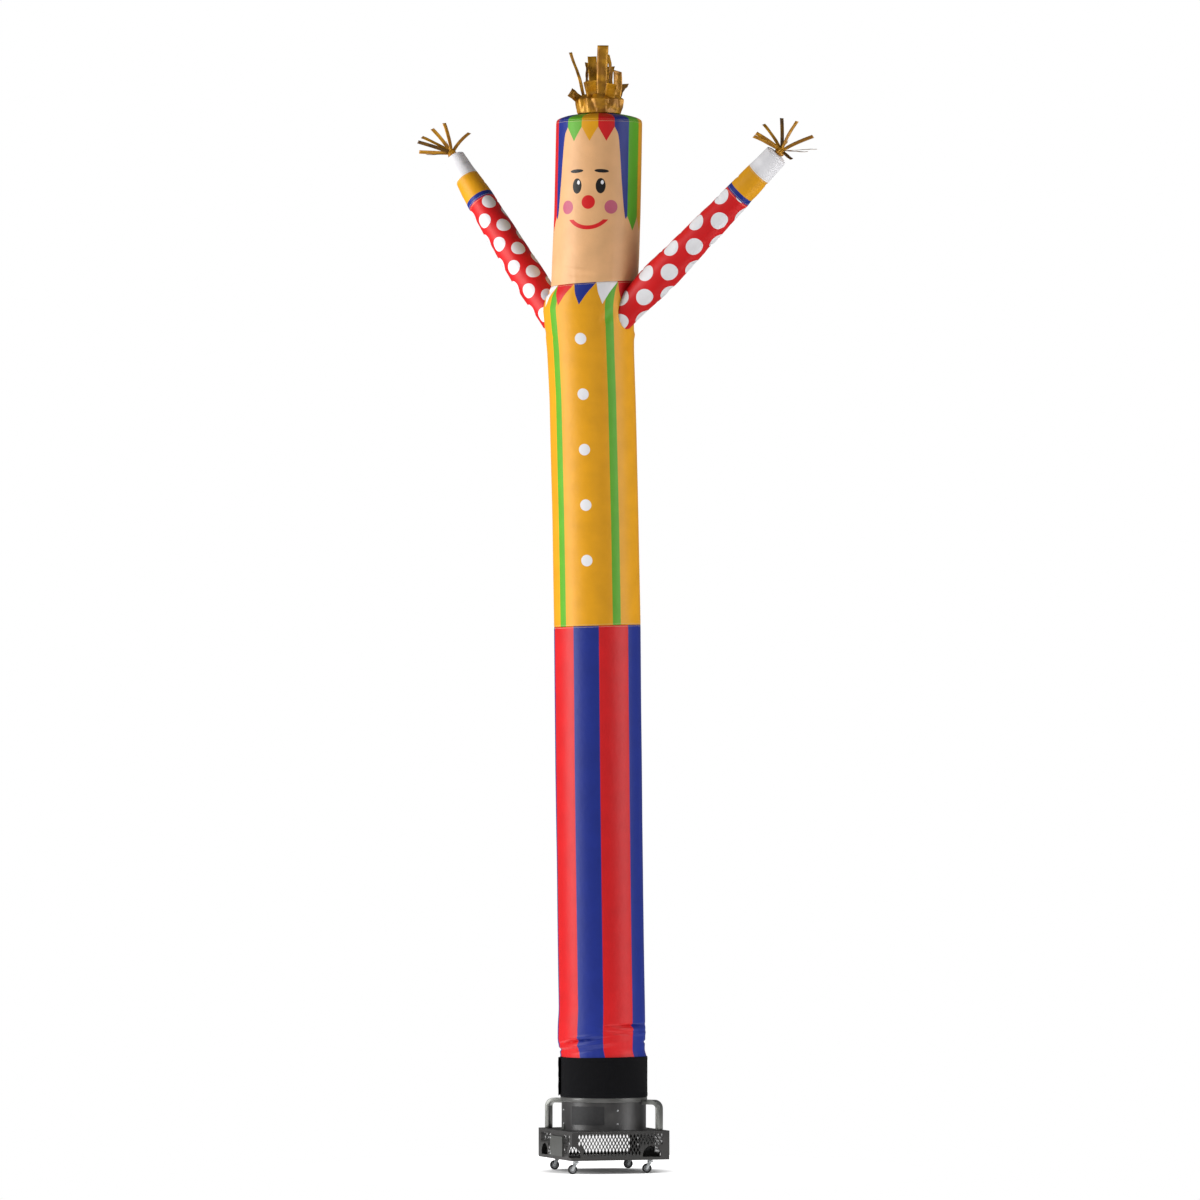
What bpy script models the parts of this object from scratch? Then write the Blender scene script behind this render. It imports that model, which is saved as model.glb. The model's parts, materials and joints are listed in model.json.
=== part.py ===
"""An inflatable air dancer, blown up and strapped onto its blower.

Metres, +Z up. The origin is at the middle of the whole object's box, on the surface that the
wheels stand on. The blower's base lines up with X and Y. The dancer leans and lifts its arms in
an upright plane that is turned TURN from the base's front.
"""
import math
from collections import namedtuple

import bmesh
import bpy
from mathutils import Matrix, Vector

# Where the blower's middle is, and the plane in which the dancer leans
MIDDLE = Vector((-0.092, -0.091, 0.0))
TURN = math.radians(19.0)
ACROSS = Vector((math.cos(TURN), -math.sin(TURN), 0.0))
AWAY = Vector((math.sin(TURN), math.cos(TURN), 0.0))
UP = Vector((0.0, 0.0, 1.0))

GAP = 0.0003
SLEEVE_GAP = 0.0008
CLOTH = 0.002
ROUND = 28

# Blower: base, duct, handles and casters
BASE_SIDE = 0.540
BASE_BOTTOM = 0.070
BASE_TOP = 0.2215
FLOOR_PLATE = 0.003
PANEL = 0.002
DUCT_RADIUS = 0.2215
DUCT_WALL = 0.003
DUCT_HOLE = 0.215
RIM_BOTTOM = 0.368
RIM_TOP = 0.392
RIM_RADIUS = 0.2275
SPIGOT_RADIUS = 0.2260
SPIGOT_TOP = 0.570
CUFF_BOTTOM = 0.3935
CUFF_TOP = 0.604
CUFF_RADIUS = 0.2290
FLAP_LIFT = 0.011
LABEL_BOTTOM = 0.252
LABEL_TOP = 0.348
LABEL_FROM = -67.5
LABEL_TO = -18.5
LABEL_OFF = 0.0009
HANDLE_OUT = 0.334
HANDLE_THICK = 0.024
HANDLE_WIDE = 0.048
HANDLE_TOP = 0.380
HANDLE_BEND = 0.045
FOOT_WIDE = 0.034
FOOT_TALL = 0.030
FOOT_LONG = 0.018

# The grille's holes, at twice the pitch of the punched sheet
GRILLE_LOW = 0.083
GRILLE_HIGH = 0.202
GRILLE_ROWS = 3
HOLE_PITCH = 0.038
HOLE_WIDE = 0.026
HOLE_TALL = 0.034
HOLE_CLEAR = 0.018
GRILLE_EDGE = 0.036
ARCH_WIDE = 0.098
ARCH_LOW = 0.086
ARCH_TOP = 0.145
ARCH_AT = 0.172

COVER_THICK = 0.008
COVER_LOW = 0.088
COVER_HIGH = 0.191

# The panels, each in its own x, seen from outside: turn of the side, whether it runs the full
# side, the arches' middles, and where its cover plate starts and ends
Panel = namedtuple("Panel", "name turn full arch corner_arch cover_name cover_from cover_to")
PANELS = [
    Panel("panel_front", 0.0, True, ARCH_AT, -BASE_SIDE / 2, "", 0.0, 0.0),
    Panel("panel_right", 90.0, False, -ARCH_AT, None, "side_cover_right", -0.020, 0.215),
    Panel("panel_back", 180.0, True, ARCH_AT, None, "", 0.0, 0.0),
    Panel("panel_left", 270.0, False, -ARCH_AT, BASE_SIDE / 2, "side_cover_left", -0.058, 0.137),
]

Caster = namedtuple("Caster", "name x y")
CASTERS = [
    Caster("front_left", -0.235, -0.235),
    Caster("front_right", 0.175, -0.235),
    Caster("back_left", -0.175, 0.235),
    Caster("back_right", 0.235, 0.235),
]

WHEEL_RADIUS = 0.025
WHEEL_WIDE = 0.018
WHEEL_SIDES = 16
AXLE_RADIUS = 0.003
TRAIL = 0.017
CROWN_LOW = 0.0555
CROWN_HIGH = 0.0655
CROWN_RADIUS = 0.015
LEG_THICK = 0.002
PIN_RADIUS = 0.004
BOLT_RADIUS = 0.005
NUT_RADIUS = 0.010
NUT_TALL = 0.012

# Dancer: the tube's rings, from the cuff to the top of the head
NECK = 4.655
NECK_TILT = 0.013
WAIST = 2.860
LEG_BOTTOM = 0.575
SHOULDER = 5.507
DOME = 0.048

Ring = namedtuple("Ring", "z lean radius")
RINGS = [
    Ring(LEG_BOTTOM, 0.000, 0.2259),
    Ring(CUFF_TOP, 0.000, 0.2258),
    Ring(0.622, -0.005, 0.2232),
    Ring(0.640, -0.009, 0.2232),
    Ring(0.690, -0.012, 0.2300),
    Ring(0.760, -0.012, 0.2295),
    Ring(0.850, -0.010, 0.2262),
    Ring(1.450, -0.019, 0.2258),
    Ring(2.100, -0.027, 0.2270),
    Ring(WAIST, -0.034, 0.2270),
    Ring(3.420, -0.044, 0.2265),
    Ring(4.050, -0.059, 0.2262),
    Ring(4.300, -0.069, 0.2285),
    Ring(4.400, -0.074, 0.2330),
    Ring(4.530, -0.081, 0.2385),
    Ring(4.600, -0.070, 0.2350),
    Ring(NECK, -0.048, 0.2285),
    Ring(4.780, -0.043, 0.2290),
    Ring(5.020, -0.034, 0.2270),
    Ring(SHOULDER, -0.024, 0.2260),
]

# Creases in the tube: place round it in degrees, half reach round it, height, rise per degree,
# half height, and how far the cloth goes in (minus) or stands out
Crease = namedtuple("Crease", "turn reach z rise half depth")
CREASES = [
    Crease(-35.0, 62.0, 0.688, 0.00042, 0.016, -0.010),
    Crease(-30.0, 66.0, 0.664, 0.00036, 0.014, 0.006),
    Crease(45.0, 62.0, 0.770, 0.00006, 0.017, -0.009),
    Crease(62.0, 50.0, 0.728, 0.00000, 0.020, 0.006),
    Crease(-86.0, 40.0, 0.640, 0.00000, 0.015, -0.009),
    Crease(88.0, 34.0, 0.680, 0.00000, 0.013, -0.007),
    Crease(150.0, 60.0, 0.700, -0.00030, 0.018, -0.009),
    Crease(-160.0, 50.0, 0.752, 0.00030, 0.018, -0.008),
    Crease(-82.0, 26.0, 4.620, 0.00060, 0.028, -0.008),
    Crease(-75.0, 30.0, 4.385, -0.00080, 0.032, -0.007),
    Crease(98.0, 26.0, 4.395, 0.00080, 0.030, 0.006),
    Crease(24.0, 18.0, 4.470, 0.00200, 0.045, -0.005),
    Crease(-20.0, 34.0, 4.700, -0.00030, 0.030, -0.004),
]
FOLD_ROWS = (0.612, 0.631, 0.649, 0.664, 0.677, 0.702, 0.716, 0.730, 0.745, 0.775, 0.790, 0.812)
SHIRT_ROWS = (4.350, 4.385, 4.440, 4.480, 4.565, 4.628)
HEAD_ROWS = (4.700, 4.740)
CLEARANCE_FROM = 4.050
CAP_STEPS = (0.0, 0.20, 0.45, 0.70, 1.0)

# The arms: where the root is on the shirt, where the hand is, and the sleeve's radii
Arm = namedtuple("Arm", "name turn root_z across away rise radii")
ARMS = [
    Arm("arm_right", 62.0, 4.526, 0.777, -0.240, 0.792, (0.0790, 0.0870, 0.0720, 0.0645, 0.0630)),
    Arm("arm_left", -125.0, 4.510, -0.522, 0.400, 0.850, (0.0770, 0.0850, 0.0790, 0.0700, 0.0550)),
]
RADII_AT = (0.0, 0.2, 0.5, 0.7, 1.0)
ARM_SIDES = 12
ARM_INSIDE = -0.22
ARM_ROOT_ROW = 0.12
ARM_SAG = 0.006
HAND_CAP = [(0.85, 0.004), (0.45, 0.010), (0.0, 0.012)]
Pinch = namedtuple("Pinch", "along turn depth")
PINCHES = [
    Pinch(0.20, 180.0, 0.007),
    Pinch(0.34, 20.0, 0.005),
    Pinch(0.47, 185.0, 0.006),
    Pinch(0.62, 340.0, 0.005),
    Pinch(0.76, 175.0, 0.006),
    Pinch(0.90, 60.0, 0.004),
]
PINCH_HALF = 0.045
PINCH_REACH = 75.0

# Ribbons: root across and away, lean across and away, height, bend across and away, width, and
# how far the flat side is turned from facing the front
Ribbon = namedtuple("Ribbon", "across away lean_across lean_away high bend_across bend_away wide face")
HAIR = [
    Ribbon(0.012, -0.030, 0.004, 0.004, 0.300, 0.004, 0.010, 0.058, 0.0),
    Ribbon(-0.026, 0.000, -0.012, 0.016, 0.245, 0.000, 0.012, 0.048, 8.0),
    Ribbon(-0.074, 0.000, -0.050, 0.006, 0.265, -0.028, 0.010, 0.018, 20.0),
    Ribbon(-0.055, 0.030, -0.016, 0.020, 0.215, 0.006, 0.020, 0.040, 78.0),
    Ribbon(0.066, 0.010, 0.010, 0.010, 0.255, -0.030, 0.010, 0.034, 62.0),
    Ribbon(0.082, -0.010, 0.044, -0.006, 0.165, -0.030, -0.010, 0.050, 15.0),
    Ribbon(0.030, 0.060, 0.020, 0.040, 0.200, 0.010, 0.030, 0.050, -25.0),
    Ribbon(-0.086, -0.030, -0.066, -0.030, 0.052, 0.000, -0.010, 0.052, 28.0),
    Ribbon(0.088, 0.030, 0.040, 0.040, 0.105, 0.010, 0.030, 0.050, -60.0),
    Ribbon(-0.030, -0.066, -0.020, -0.036, 0.105, 0.006, -0.030, 0.056, 4.0),
    Ribbon(0.050, -0.070, 0.016, -0.040, 0.090, 0.000, -0.030, 0.052, -8.0),
    Ribbon(-0.030, 0.078, -0.030, 0.060, 0.130, 0.000, 0.040, 0.052, -10.0),
]
HAND_RIGHT = [
    Ribbon(0.000, 0.000, -0.100, -0.020, 0.090, -0.030, 0.000, 0.014, 0.0),
    Ribbon(0.000, 0.004, -0.060, 0.020, 0.140, -0.030, 0.010, 0.014, 20.0),
    Ribbon(0.004, 0.000, 0.010, 0.000, 0.170, -0.010, 0.010, 0.016, 0.0),
    Ribbon(0.004, -0.004, 0.050, -0.030, 0.150, 0.030, -0.010, 0.014, 30.0),
    Ribbon(0.008, 0.000, 0.110, 0.010, 0.075, 0.050, 0.000, 0.014, 10.0),
    Ribbon(0.008, 0.004, 0.140, 0.030, 0.010, 0.040, 0.010, 0.015, 60.0),
    Ribbon(0.008, -0.004, 0.110, -0.040, -0.010, 0.020, -0.020, 0.014, 0.0),
    Ribbon(0.004, -0.004, 0.040, -0.060, -0.050, 0.010, 0.000, 0.014, 0.0),
    Ribbon(-0.004, -0.004, -0.110, -0.060, 0.070, -0.030, -0.010, 0.013, 0.0),
    Ribbon(0.000, 0.008, 0.030, 0.100, 0.060, 0.010, 0.040, 0.014, 90.0),
]
HAND_LEFT = [
    Ribbon(0.000, 0.000, -0.140, -0.020, 0.060, -0.040, 0.000, 0.014, 0.0),
    Ribbon(0.000, 0.004, -0.110, 0.030, 0.090, -0.050, 0.010, 0.013, 10.0),
    Ribbon(-0.004, 0.000, -0.070, -0.010, 0.130, -0.030, 0.000, 0.014, 0.0),
    Ribbon(0.000, -0.004, -0.020, -0.020, 0.160, -0.020, 0.000, 0.014, 15.0),
    Ribbon(0.004, 0.000, 0.040, 0.010, 0.110, 0.050, 0.000, 0.014, 0.0),
    Ribbon(-0.004, 0.004, -0.130, 0.020, 0.010, -0.040, 0.010, 0.014, 0.0),
    Ribbon(-0.004, -0.004, -0.080, -0.050, -0.010, -0.050, 0.000, 0.013, 0.0),
    Ribbon(0.000, 0.008, -0.030, 0.110, 0.070, 0.000, 0.030, 0.014, 90.0),
]
RIBBON_THICK = 0.0012
RIBBON_ROWS = 4
HAIR_PAD = [(0.112, 0.0), (0.118, 0.030), (0.116, 0.075), (0.085, 0.100)]
HAIR_UNDER = 0.0048
HAIR_START = 0.060
HAND_PAD = [(0.020, 0.0), (0.026, 0.012), (0.018, 0.034)]
HAND_START = 0.024

Paint = namedtuple("Paint", "red green blue roughness metallic")
PAINTS = {
    "leg_cloth": Paint(0.60, 0.03, 0.05, 0.45, 0.0),
    "shirt_cloth": Paint(0.80, 0.48, 0.02, 0.45, 0.0),
    "head_cloth": Paint(0.80, 0.50, 0.28, 0.45, 0.0),
    "sleeve_cloth": Paint(0.55, 0.01, 0.02, 0.45, 0.0),
    "cuff_cloth": Paint(0.004, 0.004, 0.005, 0.85, 0.0),
    "gold_ribbon": Paint(0.50, 0.25, 0.02, 0.35, 0.3),
    "base_sheet": Paint(0.05, 0.05, 0.05, 0.45, 0.6),
    "duct_sheet": Paint(0.12, 0.12, 0.12, 0.40, 0.7),
    "cover_sheet": Paint(0.10, 0.10, 0.10, 0.45, 0.6),
    "label": Paint(0.01, 0.01, 0.01, 0.40, 0.0),
    "handle_bar": Paint(0.23, 0.24, 0.23, 0.40, 0.8),
    "zinc": Paint(0.60, 0.62, 0.62, 0.30, 1.0),
    "wheel_rubber": Paint(0.015, 0.015, 0.015, 0.70, 0.0),
}


def clear_scene():
    for obj in list(bpy.data.objects):
        bpy.data.objects.remove(obj)


def paint(name):
    material = bpy.data.materials.get(name)
    if material is None:
        row = PAINTS[name]
        material = bpy.data.materials.new(name)
        material.use_nodes = True
        shader = material.node_tree.nodes["Principled BSDF"]
        shader.inputs["Base Color"].default_value = (row.red, row.green, row.blue, 1.0)
        shader.inputs["Roughness"].default_value = row.roughness
        shader.inputs["Metallic"].default_value = row.metallic
    return material


def empty(name, place, parent=None, turn=0.0):
    holder = bpy.data.objects.new(name, None)
    bpy.context.scene.collection.objects.link(holder)
    holder.location = place
    holder.rotation_euler.z = turn
    holder.parent = parent
    return holder


def piece(name, shape, material, parent, place=(0.0, 0.0, 0.0), smooth=True):
    """A named object of the shape, which is a bmesh or a mesh that other pieces share."""
    mesh = shape
    if isinstance(shape, bmesh.types.BMesh):
        mesh = bpy.data.meshes.new(name)
        shape.to_mesh(mesh)
        shape.free()
        if smooth:
            mesh.shade_smooth()
            mesh.set_sharp_from_angle(angle=math.radians(30.0))
    if not mesh.materials:
        mesh.materials.append(paint(material))
    obj = bpy.data.objects.new(name, mesh)
    bpy.context.scene.collection.objects.link(obj)
    obj.parent = parent
    obj.location = place
    return obj


def helper(name, shape, parent):
    """A cutter, or a body that is joined to another, kept out of the render."""
    obj = piece(name, shape, "zinc", parent)
    obj.hide_render = True
    obj.display_type = "WIRE"
    return obj


def combine(obj, other, operation, crossing=False):
    step = obj.modifiers.new(f"{operation.lower()} {other.name}", "BOOLEAN")
    step.operation = operation
    step.object = other
    step.use_self = crossing
    return step


def turned_about(middle, degrees, radius, z):
    """The point at this place round an upright axis; 0 faces the front, plus goes across."""
    angle = math.radians(degrees)
    return middle + (ACROSS * math.sin(angle) - AWAY * math.cos(angle)) * radius + UP * z


def box_shape(low, high):
    shape = bmesh.new()
    bmesh.ops.create_cube(shape, size=1.0)
    low, high = Vector(low), Vector(high)
    bmesh.ops.scale(shape, vec=high - low, verts=shape.verts)
    bmesh.ops.translate(shape, vec=(low + high) / 2, verts=shape.verts)
    return shape


def pillar_shape(radius, low, high, sides, turn=0.0):
    shape = bmesh.new()
    bmesh.ops.create_cone(
        shape, cap_ends=True, segments=sides, radius1=radius, radius2=radius, depth=high - low
    )
    bmesh.ops.rotate(shape, matrix=Matrix.Rotation(turn, 3, "Z"), verts=shape.verts)
    bmesh.ops.translate(shape, vec=(0.0, 0.0, (low + high) / 2), verts=shape.verts)
    return shape


def turned_shape(profile, sides, first=0.0):
    """A closed ring spun round Z from a closed outline of (radius, height) pairs."""
    shape = bmesh.new()
    start = Matrix.Rotation(first, 3, "Z")
    points = [shape.verts.new(start @ Vector((radius, 0.0, z))) for radius, z in profile]
    edges = [shape.edges.new((a, b)) for a, b in zip(points, points[1:] + points[:1])]
    bmesh.ops.spin(
        shape, geom=points + edges, axis=UP, angle=2 * math.pi, steps=sides, use_merge=True
    )
    bmesh.ops.remove_doubles(shape, verts=shape.verts, dist=1e-6)
    bmesh.ops.recalc_face_normals(shape, faces=shape.faces)
    return shape


def cut_out_shape(outline, depth, frame):
    """A flat outline of (x, y) pairs, made depth thick and centred; frame places it."""
    shape = bmesh.new()
    face = shape.faces.new([shape.verts.new((x, y, -depth / 2)) for x, y in outline])
    grown = bmesh.ops.extrude_face_region(shape, geom=[face], use_keep_orig=True)
    raised = [part for part in grown["geom"] if isinstance(part, bmesh.types.BMVert)]
    bmesh.ops.translate(shape, vec=(0.0, 0.0, depth), verts=raised)
    bmesh.ops.transform(shape, matrix=frame, verts=shape.verts)
    bmesh.ops.recalc_face_normals(shape, faces=shape.faces)
    return shape


def sheet_shape(columns, rows, place):
    """A grid of cloth given its thickness; place(turn, row, inner) puts each corner, where turn
    runs from 0 to 1 round or over it, row counts up, and inner is 1 on the inner side."""
    shape = bmesh.new()
    turn_at = shape.verts.layers.float.new("turn")
    row_at = shape.verts.layers.float.new("row")
    bmesh.ops.create_grid(shape, x_segments=columns, y_segments=rows, size=0.5)
    for vert in shape.verts:
        vert[turn_at] = vert.co.x + 0.5
        vert[row_at] = round((vert.co.y + 0.5) * rows)
    grown = bmesh.ops.extrude_face_region(shape, geom=list(shape.faces), use_keep_orig=True)
    inner = {part for part in grown["geom"] if isinstance(part, bmesh.types.BMVert)}
    for vert in shape.verts:
        vert.co = place(vert[turn_at], int(vert[row_at]), int(vert in inner))
    bmesh.ops.remove_doubles(shape, verts=shape.verts, dist=1e-5)
    drop_inner_walls(shape)
    bmesh.ops.recalc_face_normals(shape, faces=shape.faces)
    return shape


def drop_inner_walls(shape):
    """Takes out the two walls that meet where a grid closes on itself, side by side inside."""
    walls = [
        face for face in shape.faces if sum(len(edge.link_faces) > 2 for edge in face.edges) >= 2
    ]
    bmesh.ops.delete(shape, geom=walls, context="FACES")


def ring_at(z):
    """The lean and the radius of the tube at a height, straight between the table's rings."""
    for low, high in zip(RINGS, RINGS[1:]):
        if z <= high.z:
            share = (z - low.z) / (high.z - low.z)
            return (
                low.lean + (high.lean - low.lean) * share,
                low.radius + (high.radius - low.radius) * share,
            )
    return RINGS[-1].lean, RINGS[-1].radius


def bump(distance, half):
    """1 at the middle, falling smoothly to 0 at half on either side."""
    share = min(abs(distance) / half, 1.0)
    return (1.0 + math.cos(math.pi * share)) / 2


def creased(degrees, z):
    """How far the creases push the tube's wall out at this place."""
    push = 0.0
    for crease in CREASES:
        round_by = (degrees - crease.turn + 180.0) % 360.0 - 180.0
        if abs(round_by) < crease.reach:
            middle = crease.z + crease.rise * round_by
            push += crease.depth * bump(round_by, crease.reach) * bump(z - middle, crease.half)
    return push


def tube_point(turn, z, more=0.0):
    """A point on the tube's outside, or more metres out from it."""
    degrees = turn * 360.0
    lean, radius = ring_at(z)
    near_neck = bump(z - NECK, 0.25)
    lifted = z + NECK_TILT * near_neck * math.sin(math.radians(degrees))
    return turned_about(ACROSS * lean, degrees, radius + creased(degrees, z) + more, lifted)


def rows_between(low, high, extra):
    """The heights of a tube's rows: its ends, the table's rings and the rows for creases."""
    inside = {ring.z for ring in RINGS if low + 0.004 < ring.z < high - 0.004}
    inside |= {z for z in extra if low < z < high}
    return [low] + sorted(inside) + [high]


def tube(name, low, high, extra, material, parent):
    heights = rows_between(low, high, extra)

    def place(turn, row, inner):
        return tube_point(turn, heights[row], -CLOTH * inner)

    return piece(name, sheet_shape(ROUND, len(heights) - 1, place), material, parent)


def head_cap(parent):
    """The round top panel: a short upright hem, then a flat elliptical dome."""
    base = SHOULDER + GAP

    def place(turn, row, inner):
        lean, radius = ring_at(SHOULDER)
        angle = CAP_STEPS[row] * math.pi / 2
        wide = (radius - CLOTH * inner) * math.cos(angle)
        lifted = base + (DOME - CLOTH * inner) * math.sin(angle)
        return turned_about(ACROSS * lean, turn * 360.0, wide, lifted)

    return piece("head_cap", sheet_shape(ROUND, len(CAP_STEPS) - 1, place), "head_cloth", parent)


def arm_axes(arm):
    """Root middle, direction, length, and the two directions square to the sleeve."""
    lean, radius = ring_at(arm.root_z)
    root = turned_about(ACROSS * lean, arm.turn, radius, arm.root_z)
    reach = ACROSS * arm.across + AWAY * arm.away + UP * arm.rise
    along = reach.normalized()
    under = (UP - along * along.z).normalized()
    return root, along, reach.length, under, along.cross(under)


def sleeve_radius(arm, share):
    """The sleeve's radius at a share of its length, straight between the arm's own radii."""
    for step in range(len(RADII_AT) - 1):
        low, high = RADII_AT[step], RADII_AT[step + 1]
        if share <= high:
            part = (share - low) / (high - low)
            return arm.radii[step] + (arm.radii[step + 1] - arm.radii[step]) * part
    return arm.radii[-1]


def arm_point(arm, turn, distance, more=0.0):
    root, along, length, under, side = arm_axes(arm)
    share = min(max(distance / length, 0.0), 1.0)
    radius = sleeve_radius(arm, share) + more
    degrees = turn * 360.0
    for pinch in PINCHES:
        round_by = (degrees - pinch.turn + 180.0) % 360.0 - 180.0
        if abs(round_by) < PINCH_REACH:
            near = bump(distance - pinch.along * length, PINCH_HALF)
            radius -= pinch.depth * bump(round_by, PINCH_REACH) * near
    angle = math.radians(degrees)
    sag = -UP * ARM_SAG * math.sin(math.pi * share)
    centre = root + along * distance + sag
    return centre + (under * math.cos(angle) + side * math.sin(angle)) * radius


def arm_rows(arm):
    """Rows along the sleeve: the root's inner end, each pinch and its sides, and the hand."""
    length = arm_axes(arm)[2]
    rows = [ARM_INSIDE, 0.0, ARM_ROOT_ROW]
    for pinch in PINCHES:
        rows += [pinch.along * length + step * PINCH_HALF for step in (-0.8, 0.0, 0.8)]
    return sorted(rows) + [length - HAND_CAP[-1][1]]


def arm_shape(arm):
    """The sleeve, with its hand end closed by a low round cap."""
    length = arm_axes(arm)[2]
    rows = arm_rows(arm)
    last = length - HAND_CAP[-1][1]

    def place(turn, row, inner):
        if row < len(rows):
            return arm_point(arm, turn, rows[row], -CLOTH * inner)
        share, further = HAND_CAP[row - len(rows)]
        rim = arm_point(arm, turn, last, -CLOTH * inner)
        middle = (arm_point(arm, 0.0, last) + arm_point(arm, 0.5, last)) / 2
        along = arm_axes(arm)[1]
        return middle + (rim - middle) * share + along * (further - CLOTH * inner)

    return sheet_shape(ARM_SIDES, len(rows) - 1 + len(HAND_CAP), place)


def plug_shape(rows, sides, place):
    """A closed solid through rows of rings, with flat ends."""
    shape = bmesh.new()
    rings = []
    for row in range(rows):
        ring = [shape.verts.new(place(side / sides, row)) for side in range(sides)]
        rings.append(ring)
    for low, high in zip(rings, rings[1:]):
        for side in range(sides):
            after = (side + 1) % sides
            shape.faces.new((low[side], low[after], high[after], high[side]))
    shape.faces.new(rings[0])
    shape.faces.new(rings[-1])
    bmesh.ops.recalc_face_normals(shape, faces=shape.faces)
    return shape


def arms(shirt, parent):
    """The sleeves, trimmed by the shirt, and the shirt's openings, cut by the sleeves' insides."""
    heights = rows_between(CLEARANCE_FROM, NECK, SHIRT_ROWS)
    clearance = plug_shape(
        len(heights), ROUND, lambda turn, row: tube_point(turn, heights[row], SLEEVE_GAP)
    )
    body = helper("shirt_clearance", clearance, parent)
    for arm in ARMS:
        sleeve = piece(arm.name, arm_shape(arm), "sleeve_cloth", parent)
        combine(sleeve, body, "DIFFERENCE")
        rows = (ARM_INSIDE - 0.01, 0.0, ARM_ROOT_ROW)
        inside = plug_shape(
            len(rows), ARM_SIDES, lambda turn, row: arm_point(arm, turn, rows[row], -CLOTH - 0.001)
        )
        way = helper(f"{arm.name}_way", inside, parent)
        combine(shirt, way, "DIFFERENCE")


def ribbon_shape(ribbon, thick):
    """One flat ribbon from inside the pad, rising and bending over its length."""
    root = ACROSS * ribbon.across + AWAY * ribbon.away
    lean = ACROSS * ribbon.lean_across + AWAY * ribbon.lean_away + UP * ribbon.high
    bend = ACROSS * ribbon.bend_across + AWAY * ribbon.bend_away
    angle = math.radians(ribbon.face)
    wide = (ACROSS * math.cos(angle) + AWAY * math.sin(angle)) * ribbon.wide
    flat = lean.normalized().cross(wide.normalized())
    if flat.length < 0.3:
        wide = UP * ribbon.wide
        flat = lean.normalized().cross(UP)
    wide = flat.normalized().cross(lean.normalized()) * ribbon.wide

    def place(turn, row, inner):
        share = row / RIBBON_ROWS
        middle = root + lean * share + bend * share * share
        return middle + wide * (turn - 0.5) + flat.normalized() * thick * (0.5 - inner)

    return sheet_shape(1, RIBBON_ROWS, place)


def pad_shape(rows, sides, pleat, under):
    """A gathered pad: rings of (radius, height), pleated, over a foot that lies on a low dome.

    under is how much lower the dome is at the foot's rim than in its middle."""

    def place(turn, row):
        radius, height = rows[row]
        degrees = turn * 360.0
        pleated = radius * (1.0 + pleat * math.sin(math.radians(degrees * sides / 4.0) + row))
        return turned_about(Vector(), degrees, pleated, height)

    shape = plug_shape(len(rows), sides, place)
    foot = min(shape.faces, key=lambda face: face.calc_center_median().z)
    middle = bmesh.ops.poke(shape, faces=[foot])["verts"][0]
    middle.co.z += under
    return shape


def tassel(name, ribbons, pad, place, up, start, parent):
    """Ribbons whose roots are joined in a small gathered pad."""
    lean_to = UP.rotation_difference(up).to_matrix()
    bmesh.ops.rotate(pad, matrix=lean_to, verts=pad.verts)
    bmesh.ops.translate(pad, vec=place, verts=pad.verts)
    head = piece(name, pad, "gold_ribbon", parent)
    for count, ribbon in enumerate(ribbons):
        strip = ribbon_shape(ribbon, RIBBON_THICK)
        bmesh.ops.translate(strip, vec=place + up * start, verts=strip.verts)
        combine(head, helper(f"{name}_ribbon_{count}", strip, parent), "UNION")
    return head


def cuff(parent):
    """The band round the spigot, with its upper end round the leg tube's hem."""
    outline = [
        (SPIGOT_RADIUS + GAP, CUFF_BOTTOM),
        (CUFF_RADIUS, CUFF_BOTTOM),
        (CUFF_RADIUS + 0.001, (CUFF_BOTTOM + CUFF_TOP) / 2),
        (CUFF_RADIUS, CUFF_TOP),
        (SPIGOT_RADIUS + GAP, CUFF_TOP),
    ]
    piece("blower_cuff", turned_shape(outline, ROUND, front_turn()), "cuff_cloth", parent)
    heights = (CUFF_BOTTOM + 0.006, CUFF_TOP - 0.006)
    turns = (-10 * 360.0 / ROUND, -6 * 360.0 / ROUND)

    def place(turn, row, inner):
        lift = FLAP_LIFT * max(0.0, turn - 0.45) / 0.55
        radius = CUFF_RADIUS + 0.0015 + lift + CLOTH * (1 - inner)
        return turned_about(Vector(), turns[0] + (turns[1] - turns[0]) * turn, radius, heights[row])

    piece("cuff_flap", sheet_shape(4, 1, place), "cuff_cloth", parent)


def front_turn():
    """The angle of the direction that faces the front of the leaning plane."""
    return math.atan2(-AWAY.y, -AWAY.x)


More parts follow.
